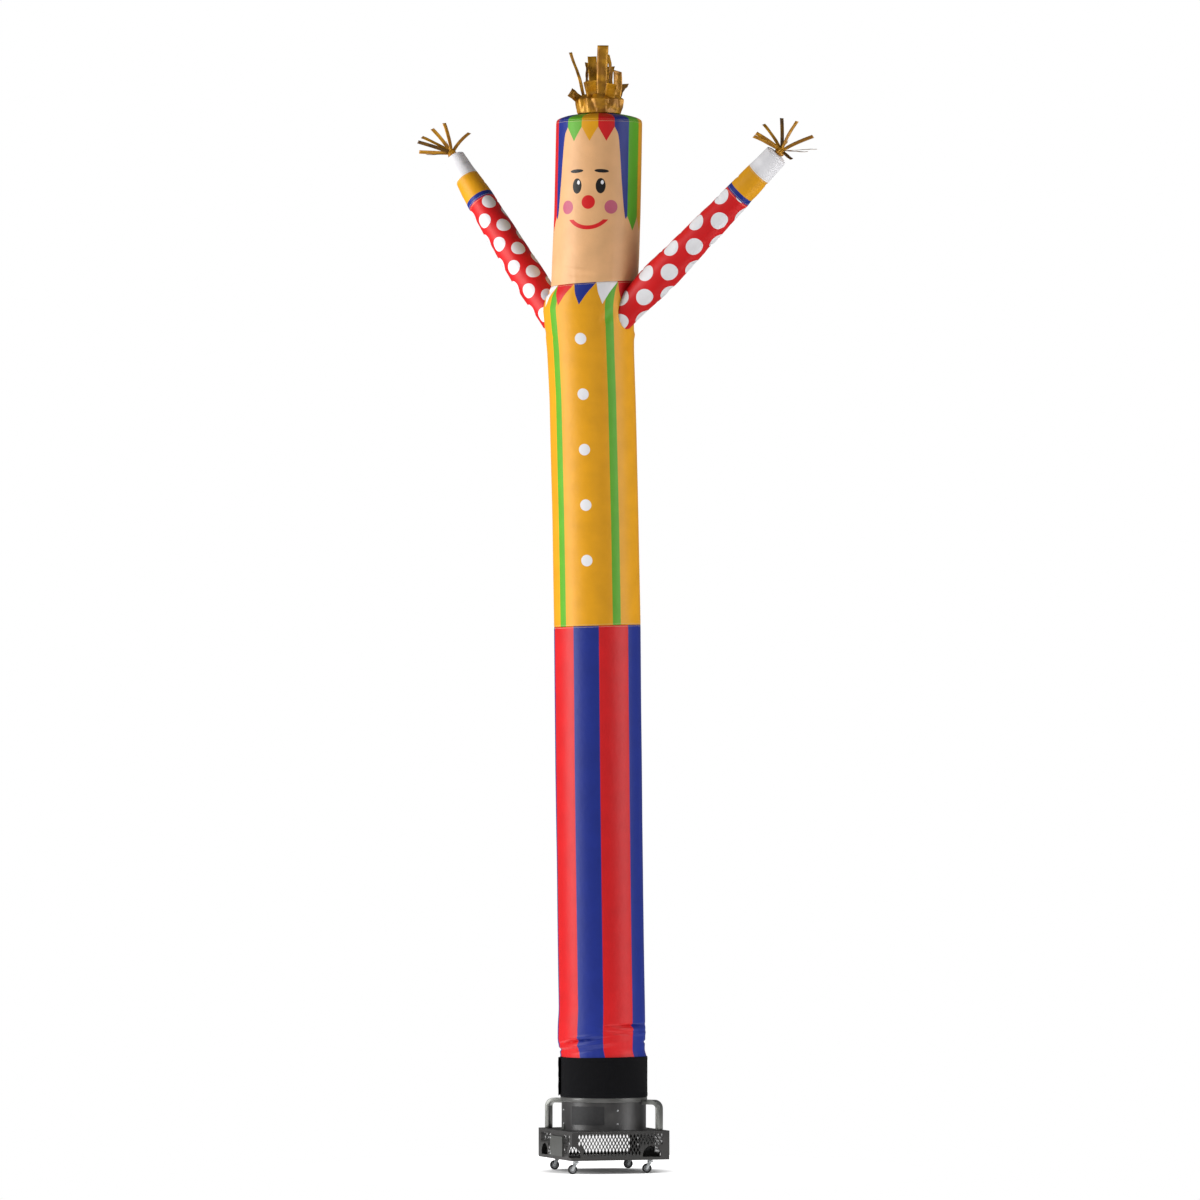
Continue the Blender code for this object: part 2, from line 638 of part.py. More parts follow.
def duct(parent):
    """The round duct with its spigot, the ring below the cuff, and the bare plate."""
    foot = BASE_TOP + GAP
    outline = [
        (DUCT_RADIUS - DUCT_WALL, foot),
        (DUCT_RADIUS, foot),
        (DUCT_RADIUS, RIM_TOP + GAP),
        (SPIGOT_RADIUS, RIM_TOP + GAP),
        (SPIGOT_RADIUS, SPIGOT_TOP),
        (SPIGOT_RADIUS - DUCT_WALL, SPIGOT_TOP),
        (SPIGOT_RADIUS - DUCT_WALL, RIM_TOP + DUCT_WALL),
        (DUCT_RADIUS - DUCT_WALL, RIM_TOP + DUCT_WALL),
    ]
    piece("duct", turned_shape(outline, ROUND, front_turn()), "duct_sheet", parent)
    ring = [
        (DUCT_RADIUS + GAP, RIM_BOTTOM),
        (RIM_RADIUS - 0.002, RIM_BOTTOM),
        (RIM_RADIUS, RIM_BOTTOM + 0.003),
        (RIM_RADIUS, RIM_TOP - 0.003),
        (RIM_RADIUS - 0.002, RIM_TOP),
        (DUCT_RADIUS + GAP, RIM_TOP),
    ]
    piece("duct_rim", turned_shape(ring, ROUND, front_turn()), "duct_sheet", parent)

    def place(turn, row, inner):
        angle = math.radians(LABEL_FROM + (LABEL_TO - LABEL_FROM) * turn)
        radius = DUCT_RADIUS + LABEL_OFF + 0.001 * (1 - inner)
        height = (LABEL_BOTTOM, LABEL_TOP)[row]
        return Vector((math.sin(angle) * radius, -math.cos(angle) * radius, height))

    piece("label_plate", sheet_shape(6, 1, place), "label", parent)
    for name, side in (("duct_foot_right", 1), ("duct_foot_left", -1)):
        near = DUCT_RADIUS + GAP
        low = BASE_TOP + GAP
        outline = [
            (near, low),
            (near + FOOT_LONG, low),
            (near + FOOT_LONG, low + 0.003),
            (near + 0.006, low + 0.003),
            (near + 0.003, low + FOOT_TALL),
            (near, low + FOOT_TALL),
        ]
        frame = Matrix.Rotation(math.pi / 2, 4, "X")
        shape = cut_out_shape([(x * side, z) for x, z in outline], FOOT_WIDE, frame)
        piece(name, shape, "handle_bar", parent, smooth=False)


def arc(centre, radius, first, last, steps):
    """Points of an arc in a flat outline, angles in degrees."""
    points = []
    for step in range(steps + 1):
        angle = math.radians(first + (last - first) * step / steps)
        points.append((centre[0] + radius * math.cos(angle), centre[1] + radius * math.sin(angle)))
    return points


def handles(parent):
    """Two flat bars on opposite corners, bent from the duct's ring down to the base."""
    foot = BASE_TOP + GAP
    inner = HANDLE_OUT - HANDLE_THICK
    bend = HANDLE_BEND - HANDLE_THICK
    start = RIM_RADIUS + 0.0005
    outline = [(HANDLE_OUT, foot)]
    outline += arc((HANDLE_OUT - HANDLE_BEND, HANDLE_TOP - HANDLE_BEND), HANDLE_BEND, 0.0, 90.0, 4)
    outline += [(start, HANDLE_TOP), (start, HANDLE_TOP - HANDLE_THICK)]
    outline += arc((inner - bend, HANDLE_TOP - HANDLE_THICK - bend), bend, 90.0, 0.0, 3)
    outline += [(inner, foot)]
    for name, degrees in (("handle_right", -45.0), ("handle_left", 135.0)):
        upright = Matrix.Rotation(math.pi / 2, 4, "X")
        frame = Matrix.Rotation(math.radians(degrees), 4, "Z") @ upright
        bar = piece(name, cut_out_shape(outline, HANDLE_WIDE, frame), "handle_bar", parent)
        round_over = bar.modifiers.new("rounded edges", "BEVEL")
        round_over.width = 0.004
        round_over.segments = 1
        round_over.limit_method = "ANGLE"
        round_over.angle_limit = math.radians(60.0)


def arch_outline(middle):
    """An upright arch with a straight foot, in a panel's own x and z."""
    half = ARCH_WIDE / 2
    outline = arc((middle, ARCH_TOP - half), half, 0.0, 180.0, 8)
    return outline + [(middle - half, ARCH_LOW), (middle + half, ARCH_LOW)]


def covered(x, z, arches, cover):
    """True where a hole would meet an arch, or lie behind a cover plate."""
    beside = ARCH_WIDE / 2 + HOLE_CLEAR
    in_arch = any(abs(x - middle) < beside and z < ARCH_TOP + HOLE_CLEAR for middle in arches)
    return in_arch or bool(cover and cover[0] - HOLE_CLEAR < x < cover[1] + HOLE_CLEAR)


def panel_cutter(arches, cover, low, high):
    """Every hole and arch of one panel, as separate upright prisms."""
    shape = bmesh.new()
    outlines = [arch_outline(middle) for middle in arches]
    step = (GRILLE_HIGH - GRILLE_LOW) / GRILLE_ROWS
    for row in range(GRILLE_ROWS):
        z = GRILLE_LOW + step * (row + 0.5)
        shift = HOLE_PITCH / 2 * (row % 2)
        for count in range(int((high - low - shift) / HOLE_PITCH)):
            x = low + shift + HOLE_PITCH * (count + 0.5)
            if not covered(x, z, arches, cover):
                wide, tall = HOLE_WIDE / 2, HOLE_TALL / 2
                outlines.append([(x - wide, z), (x, z - tall), (x + wide, z), (x, z + tall)])
    for outline in outlines:
        face = shape.faces.new([shape.verts.new((x, -0.02, z)) for x, z in outline])
        grown = bmesh.ops.extrude_face_region(shape, geom=[face], use_keep_orig=True)
        raised = [part for part in grown["geom"] if isinstance(part, bmesh.types.BMVert)]
        bmesh.ops.translate(shape, vec=(0.0, 0.04, 0.0), verts=raised)
    bmesh.ops.recalc_face_normals(shape, faces=shape.faces)
    return shape


def base(parent):
    """The square base: floor, top with the duct's hole, and four perforated panels."""
    half = BASE_SIDE / 2
    floor_top = BASE_BOTTOM + FLOOR_PLATE
    plate = box_shape((-half, -half, BASE_BOTTOM), (half, half, floor_top))
    floor = piece("base_floor", plate, "base_sheet", parent, smooth=False)
    for row in CASTERS:
        hole = pillar_shape(BOLT_RADIUS + 0.0005, BASE_BOTTOM - 0.01, floor_top + 0.01, 12)
        bmesh.ops.translate(hole, vec=(row.x, row.y, 0.0), verts=hole.verts)
        combine(floor, helper(f"floor_hole_{row.name}", hole, parent), "DIFFERENCE")
    plate = box_shape((-half, -half, BASE_TOP - PANEL), (half, half, BASE_TOP))
    top = piece("base_top", plate, "base_sheet", parent, smooth=False)
    hole = pillar_shape(DUCT_HOLE, BASE_TOP - 0.02, BASE_TOP + 0.02, ROUND, front_turn())
    combine(top, helper("duct_hole", hole, parent), "DIFFERENCE")
    low, high = floor_top + GAP, BASE_TOP - PANEL - GAP
    for row in PANELS:
        reach = half if row.full else half - PANEL - GAP
        wall = box_shape((-reach, -half, low), (reach, -half + PANEL, high))
        cover = (row.cover_from, row.cover_to) if row.cover_to > row.cover_from else None
        arches = [place for place in (row.arch, row.corner_arch) if place is not None]
        cutter = panel_cutter(arches, cover, -half + GRILLE_EDGE, half - GRILLE_EDGE)
        bmesh.ops.translate(cutter, vec=(0.0, -half, 0.0), verts=cutter.verts)
        holder = empty(f"{row.name}_side", (0.0, 0.0, 0.0), parent, math.radians(row.turn))
        panel = piece(row.name, wall, "base_sheet", holder, smooth=False)
        combine(panel, helper(f"{row.name}_holes", cutter, holder), "DIFFERENCE")
        if cover:
            outer = -half - GAP - COVER_THICK
            plate = box_shape((cover[0], outer, COVER_LOW), (cover[1], -half - GAP, COVER_HIGH))
            piece(row.cover_name, plate, "cover_sheet", holder, smooth=False)


def stem_shape():
    """Nut, bolt, collar under the floor, and the pin that carries the fork's crown."""
    floor_top = BASE_BOTTOM + FLOOR_PLATE
    collar = (CROWN_HIGH + GAP, BASE_BOTTOM - GAP)
    head = (CROWN_LOW - 0.0028, CROWN_LOW - GAP)
    nut = (floor_top + GAP, floor_top + GAP + NUT_TALL)
    shape = pillar_shape(NUT_RADIUS, nut[0], nut[1], 6)
    return shape, [
        pillar_shape(BOLT_RADIUS, collar[0] + 0.001, nut[0] + 0.002, 12),
        pillar_shape(CROWN_RADIUS - 0.002, collar[0], collar[1], 12),
        pillar_shape(PIN_RADIUS, head[0] + 0.001, collar[0] + 0.001, 12),
        pillar_shape(PIN_RADIUS + 0.003, head[0], head[1], 12),
    ]


def fork_shape():
    """Crown plate with the pin's hole, two legs and the axle. The wheel trails along -X."""
    shape = pillar_shape(CROWN_RADIUS, CROWN_LOW, CROWN_HIGH, 12)
    outer = WHEEL_WIDE / 2 + 0.0035
    leg = [
        (0.011, CROWN_LOW + 0.006),
        (-TRAIL + 0.006, WHEEL_RADIUS - 0.006),
        (-TRAIL - 0.006, WHEEL_RADIUS - 0.006),
        (-TRAIL - 0.007, WHEEL_RADIUS + 0.006),
        (-0.012, CROWN_LOW + 0.006),
    ]
    bodies = [box_shape((-0.013, -outer, CROWN_LOW), (0.011, outer, CROWN_LOW + 0.0065))]
    for side in (-1, 1):
        upright = Matrix.Rotation(math.pi / 2, 4, "X")
        frame = Matrix.Translation((0.0, side * (outer - LEG_THICK / 2), 0.0)) @ upright
        bodies.append(cut_out_shape(leg, LEG_THICK, frame))
    axle = pillar_shape(AXLE_RADIUS, -outer - 0.003, outer + 0.003, 10)
    bmesh.ops.rotate(axle, matrix=Matrix.Rotation(math.pi / 2, 3, "X"), verts=axle.verts)
    bmesh.ops.translate(axle, vec=(-TRAIL, 0.0, WHEEL_RADIUS), verts=axle.verts)
    bodies.append(axle)
    return shape, bodies


def wheel_shape():
    """Tyre and hub in one turned solid round Y, with a flat of its tread at the bottom."""
    corner = WHEEL_RADIUS / math.cos(math.pi / WHEEL_SIDES)
    bore = AXLE_RADIUS + 0.0009
    half = WHEEL_WIDE / 2
    outline = [
        (bore, -half + 0.0005),
        (corner - 0.008, -half + 0.002),
        (corner - 0.004, -half),
        (corner, -half + 0.004),
        (corner, half - 0.004),
        (corner - 0.004, half),
        (corner - 0.008, half - 0.002),
        (bore, half - 0.0005),
    ]
    shape = turned_shape(outline, WHEEL_SIDES, math.pi / WHEEL_SIDES)
    bmesh.ops.rotate(shape, matrix=Matrix.Rotation(math.pi / 2, 3, "X"), verts=shape.verts)
    return shape


def merged(name, shape, bodies, material, parent, holes=()):
    """One mesh of overlapping bodies, less the holes, which copies can share."""
    obj = helper(name, shape, parent)
    obj.data.materials.clear()
    for count, body in enumerate(bodies):
        combine(obj, helper(f"{name}_body_{count}", body, parent), "UNION")
    for count, hole in enumerate(holes):
        combine(obj, helper(f"{name}_hole_{count}", hole, parent), "DIFFERENCE")
    bpy.context.view_layer.update()
    graph = bpy.context.evaluated_depsgraph_get()
    mesh = bpy.data.meshes.new_from_object(obj.evaluated_get(graph))
    mesh.materials.clear()
    mesh.materials.append(paint(material))
    return mesh


def casters(parent):
    """Four swivel casters, their wheels trailing the same way."""
    stem_mesh = merged("stem_pattern", *stem_shape(), "zinc", parent)
    pin_hole = pillar_shape(PIN_RADIUS + 0.0006, 0.0, 0.1, 12)
    fork_mesh = merged("fork_pattern", *fork_shape(), "zinc", parent, [pin_hole])
    wheel_mesh = merged("wheel_pattern", wheel_shape(), [], "wheel_rubber", parent)
    for row in CASTERS:
        piece(f"caster_stem_{row.name}", stem_mesh, "zinc", parent, (row.x, row.y, 0.0))
        swivel = empty(f"swivel_{row.name}", (row.x, row.y, 0.0), parent, -TURN)
        piece(f"caster_fork_{row.name}", fork_mesh, "zinc", swivel)
        axle = empty(f"axle_{row.name}", (-TRAIL, 0.0, WHEEL_RADIUS), swivel)
        piece(f"caster_wheel_{row.name}", wheel_mesh, "wheel_rubber", axle)


def dancer(parent):
    tube("leg_tube", LEG_BOTTOM, WAIST - GAP / 2, FOLD_ROWS, "leg_cloth", parent)
    shirt = tube("shirt_tube", WAIST + GAP / 2, NECK - GAP / 2, SHIRT_ROWS, "shirt_cloth", parent)
    tube("head_tube", NECK + GAP / 2, SHOULDER - GAP / 2, HEAD_ROWS, "head_cloth", parent)
    head_cap(parent)
    arms(shirt, parent)
    lean = ring_at(SHOULDER)[0]
    crown = ACROSS * lean + UP * (SHOULDER + GAP + DOME + GAP)
    pad = pad_shape(HAIR_PAD, 16, 0.07, HAIR_UNDER)
    tassel("hair_tassel", HAIR, pad, crown - UP * HAIR_UNDER, UP, HAIR_START, parent)
    for arm, ribbons in zip(ARMS, (HAND_RIGHT, HAND_LEFT)):
        root, along, length = arm_axes(arm)[:3]
        place = root + along * (length + GAP)
        pad = pad_shape(HAND_PAD, 8, 0.05, 0.0)
        tassel(f"hand_tassel_{arm.name[4:]}", ribbons, pad, place, along, HAND_START, parent)


def main():
    clear_scene()
    middle = empty("blower_middle", MIDDLE)
    base(middle)
    duct(middle)
    handles(middle)
    casters(middle)
    cuff(middle)
    dancer(middle)


main()
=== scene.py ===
"""The looks of the inflatable air dancer: printed nylon, gold ribbon, and its sheet metal blower.

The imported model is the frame. Metres, +Z up. Sizes that repeat the model's own have its names.
"""
import json
import math
from collections import namedtuple

import bmesh
import bpy
from mathutils import Matrix, Vector, noise

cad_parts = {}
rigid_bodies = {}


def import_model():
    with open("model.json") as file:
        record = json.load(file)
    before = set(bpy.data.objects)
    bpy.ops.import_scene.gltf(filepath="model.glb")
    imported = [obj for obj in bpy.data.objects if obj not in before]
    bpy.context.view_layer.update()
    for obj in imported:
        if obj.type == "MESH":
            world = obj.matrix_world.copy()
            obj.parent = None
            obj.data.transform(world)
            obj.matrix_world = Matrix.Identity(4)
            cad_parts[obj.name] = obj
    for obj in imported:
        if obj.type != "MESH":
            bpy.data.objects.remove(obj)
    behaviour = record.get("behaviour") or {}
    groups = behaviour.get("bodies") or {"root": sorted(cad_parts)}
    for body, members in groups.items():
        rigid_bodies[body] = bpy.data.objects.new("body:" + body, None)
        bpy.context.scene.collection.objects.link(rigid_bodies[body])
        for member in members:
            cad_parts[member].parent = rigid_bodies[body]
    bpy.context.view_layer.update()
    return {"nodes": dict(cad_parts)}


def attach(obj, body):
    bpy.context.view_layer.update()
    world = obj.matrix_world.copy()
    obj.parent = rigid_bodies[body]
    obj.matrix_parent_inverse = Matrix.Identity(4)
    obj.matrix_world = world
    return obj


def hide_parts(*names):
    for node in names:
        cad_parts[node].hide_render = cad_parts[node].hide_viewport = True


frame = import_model()

# Where the blower's middle is, and the plane in which the dancer leans
MIDDLE = Vector((-0.092, -0.091, 0.0))
TURN = math.radians(19.0)
ACROSS = Vector((math.cos(TURN), -math.sin(TURN), 0.0))
AWAY = Vector((math.sin(TURN), math.cos(TURN), 0.0))
UP = Vector((0.0, 0.0, 1.0))

# The photograph's camera: 45 m away, 5.25 mm of the dancer to a pixel of 1200
EYE_AWAY = 45.0
EYE_UP = 2.4
EYE_ASIDE = -0.0200
EYE_TILT = 0.76
PIXEL = 0.00525
PICTURE = 1200

# Blower
BASE_SIDE = 0.540
BASE_BOTTOM = 0.070
BASE_TOP = 0.2215
FLOOR_PLATE = 0.003
PANEL = 0.002
DUCT_RADIUS = 0.2215
DUCT_WALL = 0.003
RIM_BOTTOM = 0.368
RIM_TOP = 0.392
RIM_RADIUS = 0.2275
SPIGOT_RADIUS = 0.2260
SPIGOT_TOP = 0.570
CUFF_BOTTOM = 0.3935
CUFF_TOP = 0.604
CUFF_RADIUS = 0.2290
FLAP_LIFT = 0.011
FLAP_FROM = -128.6
FLAP_TO = -77.2
FLAP_OFF = 0.0035
FLAP_SHORTER = 0.006
CUFF_ROWS = 48
FLAP_ROWS = 24
LABEL_BOTTOM = 0.252
LABEL_TOP = 0.348
LABEL_FROM = -67.5
LABEL_TO = -18.5
LABEL_OFF = 0.0009
PLATE_CORNER = 0.004
HANDLE_OUT = 0.334
HANDLE_THICK = 0.024
HANDLE_WIDE = 0.048
HANDLE_TOP = 0.380
HANDLE_BEND = 0.045
GAP = 0.0003

# The grille: pitch of the diamonds along and up, width of the metal left between them
GRILLE_LOW = 0.083
GRILLE_HIGH = 0.202
GRILLE_EDGE = 0.036
HOLE_PITCH = 0.019
HOLE_RISE = 0.035
BAR = 0.0060
ARCH_WIDE = 0.098
ARCH_LOW = 0.086
ARCH_TOP = 0.145
ARCH_AT = 0.172

# Panels: turn of the side, whether it runs the full side, its arches, where its cover plate
# starts and ends, and how far its holes are shifted along and up
Panel = namedtuple("Panel", "name turn full arches cover_from cover_to shift_along shift_up")
PANELS = [
    Panel("panel_front", 0.0, True, (ARCH_AT, -BASE_SIDE / 2), 0.0, 0.0, 0.0, 0.0),
    Panel("panel_right", 90.0, False, (-ARCH_AT,), -0.020, 0.215, 0.0, 0.0),
    Panel("panel_back", 180.0, True, (ARCH_AT,), 0.0, 0.0, 0.0052, 0.0063),
    Panel("panel_left", 270.0, False, (-ARCH_AT, BASE_SIDE / 2), -0.058, 0.137, 0.0, 0.0),
]
COVER_THICK = 0.008
COVER_SCREWS = (0.098, 0.180)
COVER_SCREWS_IN = 0.010

WHEEL_RADIUS = 0.025
WHEEL_WIDE = 0.018
HUB_RADIUS = 0.0165
TYRE_ROUND = 0.0045

# The wheel's side from the axle outwards: radius, and how far in from the tyre's side
WHEEL_SIDE = [
    (0.0036, 0.0022), (0.0070, 0.0022), (0.0082, 0.0036), (0.0150, 0.0036),
    (0.0160, 0.0016), (0.0172, 0.0012), (0.0180, 0.0004),
]

# The fork: how far its crown is behind the axle, and the crown's heights and radius
TRAIL = 0.017
CROWN_LOW = 0.0555
CROWN_HIGH = 0.0655
CROWN_RADIUS = 0.015
Caster = namedtuple("Caster", "name x y")
CASTERS = [
    Caster("front_left", -0.235, -0.235),
    Caster("front_right", 0.175, -0.235),
    Caster("back_left", -0.175, 0.235),
    Caster("back_right", 0.235, 0.235),
]

# Screws of the duct: four round it at each height
SCREW_HEIGHTS = (0.2555, 0.327)
SCREW_RADIUS = 0.0048

# Dancer
NECK = 4.655
NECK_TILT = 0.013
WAIST = 2.860
WAIST_TILT = 0.007
LEG_BOTTOM = 0.575
SHOULDER = 5.507
DOME = 0.048
TUBE_RADIUS = 0.2265
CLOTH = 0.0010

# The tube's rings: height, how far the middle leans across, and the radius
Ring = namedtuple("Ring", "z lean radius")
RINGS = [
    Ring(LEG_BOTTOM, 0.000, 0.2259),
    Ring(CUFF_TOP, 0.000, 0.2258),
    Ring(0.622, -0.005, 0.2232),
    Ring(0.640, -0.009, 0.2232),
    Ring(0.690, -0.012, 0.2300),
    Ring(0.760, -0.012, 0.2295),
    Ring(0.850, -0.010, 0.2262),
    Ring(1.450, -0.019, 0.2258),
    Ring(2.100, -0.027, 0.2270),
    Ring(WAIST, -0.034, 0.2270),
    Ring(3.420, -0.044, 0.2265),
    Ring(4.050, -0.059, 0.2262),
    Ring(4.300, -0.069, 0.2285),
    Ring(4.400, -0.074, 0.2330),
    Ring(4.530, -0.081, 0.2385),
    Ring(4.600, -0.070, 0.2350),
    Ring(NECK, -0.048, 0.2285),
    Ring(4.780, -0.043, 0.2290),
    Ring(5.020, -0.034, 0.2270),
    Ring(SHOULDER, -0.024, 0.2260),
]

# Creases: place round the tube in degrees, half reach, height, rise per degree, half height,
# and how far the cloth goes in (minus) or stands out
Crease = namedtuple("Crease", "turn reach z rise half depth")
CREASES = [
    Crease(-35.0, 62.0, 0.688, 0.00042, 0.011, -0.013),
    Crease(-30.0, 66.0, 0.666, 0.00036, 0.014, 0.008),
    Crease(-20.0, 44.0, 0.640, 0.00060, 0.009, -0.005),
    Crease(-24.0, 40.0, 0.712, 0.00046, 0.010, 0.005),
    Crease(45.0, 62.0, 0.770, 0.00006, 0.011, -0.012),
    Crease(50.0, 52.0, 0.750, 0.00004, 0.013, 0.007),
    Crease(20.0, 34.0, 0.732, -0.00040, 0.010, -0.005),
    Crease(62.0, 50.0, 0.728, 0.00000, 0.018, 0.005),
    Crease(-86.0, 40.0, 0.640, 0.00000, 0.013, -0.009),
    Crease(88.0, 34.0, 0.680, 0.00000, 0.012, -0.007),
    Crease(150.0, 60.0, 0.700, -0.00030, 0.016, -0.009),
    Crease(-160.0, 50.0, 0.752, 0.00030, 0.016, -0.008),
    Crease(-82.0, 26.0, 4.620, 0.00060, 0.024, -0.008),
    Crease(-75.0, 30.0, 4.385, -0.00080, 0.028, -0.007),
    Crease(98.0, 26.0, 4.395, 0.00080, 0.028, 0.006),
    Crease(24.0, 18.0, 4.470, 0.00200, 0.040, -0.005),
    Crease(-20.0, 34.0, 4.700, -0.00030, 0.022, -0.004),
    Crease(-26.0, 30.0, 4.728, -0.00060, 0.016, 0.003),
]

# Sewn seams round the tube: height, how far the stitching draws it in, the size of the puckers
# beside it, and how far they reach
Seam = namedtuple("Seam", "z draw pucker reach")
SEAMS = [
    Seam(CUFF_TOP, 0.0, 0.0030, 0.050),
    Seam(WAIST, 0.0012, 0.0012, 0.030),
    Seam(NECK, 0.0022, 0.0024, 0.050),
    Seam(SHOULDER, 0.0012, 0.0014, 0.030),
]

# Arms: where the root is round and up the shirt, the reach to the hand, and the radii, which are
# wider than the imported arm's by up to 10 mm of slack cloth. Then the print: the dots' pitch, the
# places of the first row and of the first dot in it, and where the cuff and the hand start.
Arm = namedtuple(
    "Arm", "name turn root_z across away rise radii pitch first_row first_along cuff hand"
)
ARMS = [
    Arm("arm_right", 62.0, 4.526, 0.777, -0.240, 0.792, (0.0790, 0.0905, 0.0815, 0.0745, 0.0640),
        0.189, 0.0240, 0.494, 0.833, 0.993),
    Arm("arm_left", -125.0, 4.510, -0.522, 0.400, 0.850, (0.0770, 0.0875, 0.0820, 0.0760, 0.0560),
        0.162, -0.0440, 0.4744, 0.760, 0.925),
]
RADII_AT = (0.0, 0.2, 0.5, 0.7, 1.0)
DOT_SHARE = 0.242
ARM_INSIDE = -0.22
ARM_SAG = 0.006

# Pinches of a sleeve: share of its length, place round it, depth, half length, reach round it
Pinch = namedtuple("Pinch", "along turn depth half reach")
PINCHES = [
    Pinch(0.20, 180.0, 0.0040, 0.045, 75.0),
    Pinch(0.34, 20.0, 0.0030, 0.045, 75.0),
    Pinch(0.47, 185.0, 0.0035, 0.045, 75.0),
    Pinch(0.62, 340.0, 0.0030, 0.045, 75.0),
    Pinch(0.76, 175.0, 0.0035, 0.045, 75.0),
    Pinch(0.90, 60.0, 0.0025, 0.045, 75.0),
]
FINE_FIRST = 0.115
FINE_EVERY = 0.062
FINE_SIDES = (176.0, 8.0)
FINE_SPREAD = 17.0
FINE_PINCHES = [
    Pinch(
        FINE_FIRST + FINE_EVERY * count,
        FINE_SIDES[count % 2] + FINE_SPREAD * math.sin(count * 2.3),
        0.0036, 0.012, 40.0,
    )
    for count in range(14)
]

# The round end of a sleeve: share of the hand's radius, and how far past its last row
HAND_END = [
    (0.985, 0.002), (0.93, 0.0045), (0.80, 0.008), (0.60, 0.0105), (0.35, 0.0118), (0.0, 0.012),
]
HAND_ROUND = 0.012

# Ribbons: where the root is, the lean over the whole length, the height, how the tip bends
# further, the width, and the turn of the flat side
Ribbon = namedtuple("Ribbon", "across away lean_across lean_away high bend_across bend_away wide face")
HAIR = [
    Ribbon(0.012, -0.030, 0.004, 0.004, 0.300, 0.004, 0.010, 0.058, 0.0),
    Ribbon(-0.026, 0.000, -0.012, 0.016, 0.245, 0.000, 0.012, 0.048, 8.0),
    Ribbon(-0.074, 0.000, -0.050, 0.006, 0.265, -0.028, 0.010, 0.018, 20.0),
    Ribbon(-0.055, 0.030, -0.016, 0.020, 0.215, 0.006, 0.020, 0.040, 78.0),
    Ribbon(0.066, 0.010, 0.010, 0.010, 0.255, -0.030, 0.010, 0.034, 62.0),
    Ribbon(0.082, -0.010, 0.044, -0.006, 0.165, -0.030, -0.010, 0.050, 15.0),
    Ribbon(0.030, 0.060, 0.020, 0.040, 0.200, 0.010, 0.030, 0.050, -25.0),
    Ribbon(-0.086, -0.030, -0.066, -0.030, 0.052, 0.000, -0.010, 0.052, 28.0),
    Ribbon(0.088, 0.030, 0.040, 0.040, 0.105, 0.010, 0.030, 0.050, -60.0),
    Ribbon(-0.030, -0.066, -0.020, -0.036, 0.105, 0.006, -0.030, 0.056, 4.0),
    Ribbon(0.050, -0.070, 0.016, -0.040, 0.090, 0.000, -0.030, 0.052, -8.0),
    Ribbon(-0.030, 0.078, -0.030, 0.060, 0.130, 0.000, 0.040, 0.052, -10.0),
]
HAND_RIGHT = [
    Ribbon(0.000, 0.000, -0.100, -0.020, 0.090, -0.030, 0.000, 0.019, 0.0),
    Ribbon(0.000, 0.004, -0.060, 0.020, 0.140, -0.030, 0.010, 0.019, 20.0),
    Ribbon(0.004, 0.000, 0.010, 0.000, 0.170, -0.010, 0.010, 0.019, 0.0),
    Ribbon(0.004, -0.004, 0.050, -0.030, 0.150, 0.030, -0.010, 0.019, 30.0),
    Ribbon(0.008, 0.000, 0.110, 0.010, 0.075, 0.050, 0.000, 0.019, 10.0),
    Ribbon(0.008, 0.004, 0.140, 0.030, 0.010, 0.040, 0.010, 0.019, 60.0),
    Ribbon(0.008, -0.004, 0.110, -0.040, -0.010, 0.020, -0.020, 0.019, 0.0),
    Ribbon(0.004, -0.004, 0.040, -0.060, -0.050, 0.010, 0.000, 0.019, 0.0),
    Ribbon(-0.004, -0.004, -0.110, -0.060, 0.070, -0.030, -0.010, 0.019, 0.0),
    Ribbon(0.000, 0.008, 0.030, 0.100, 0.060, 0.010, 0.040, 0.019, 90.0),
]
HAND_LEFT = [
    Ribbon(0.000, 0.000, -0.140, -0.020, 0.060, -0.040, 0.000, 0.019, 0.0),
    Ribbon(0.000, 0.004, -0.110, 0.030, 0.090, -0.050, 0.010, 0.019, 10.0),
    Ribbon(-0.004, 0.000, -0.070, -0.010, 0.130, -0.030, 0.000, 0.019, 0.0),
    Ribbon(0.000, -0.004, -0.020, -0.020, 0.160, -0.020, 0.000, 0.019, 15.0),
    Ribbon(0.004, 0.000, 0.040, 0.010, 0.110, 0.050, 0.000, 0.019, 0.0),
    Ribbon(-0.004, 0.004, -0.130, 0.020, 0.010, -0.040, 0.010, 0.019, 0.0),
    Ribbon(-0.004, -0.004, -0.080, -0.050, -0.010, -0.050, 0.000, 0.019, 0.0),
    Ribbon(0.000, 0.008, -0.030, 0.110, 0.070, 0.000, 0.030, 0.019, 90.0),
]

# The gathered roots: radius and height of each ring, and how far up the ribbons start
HAIR_PAD = [(0.112, 0.0), (0.118, 0.030), (0.116, 0.075), (0.085, 0.100), (0.030, 0.105)]
HAIR_UNDER = 0.0048
HAIR_START = 0.060
HAND_PAD = [(0.020, 0.0), (0.026, 0.012), (0.018, 0.034), (0.006, 0.037)]
HAND_START = 0.024
RIBBON_THICK = 0.0009

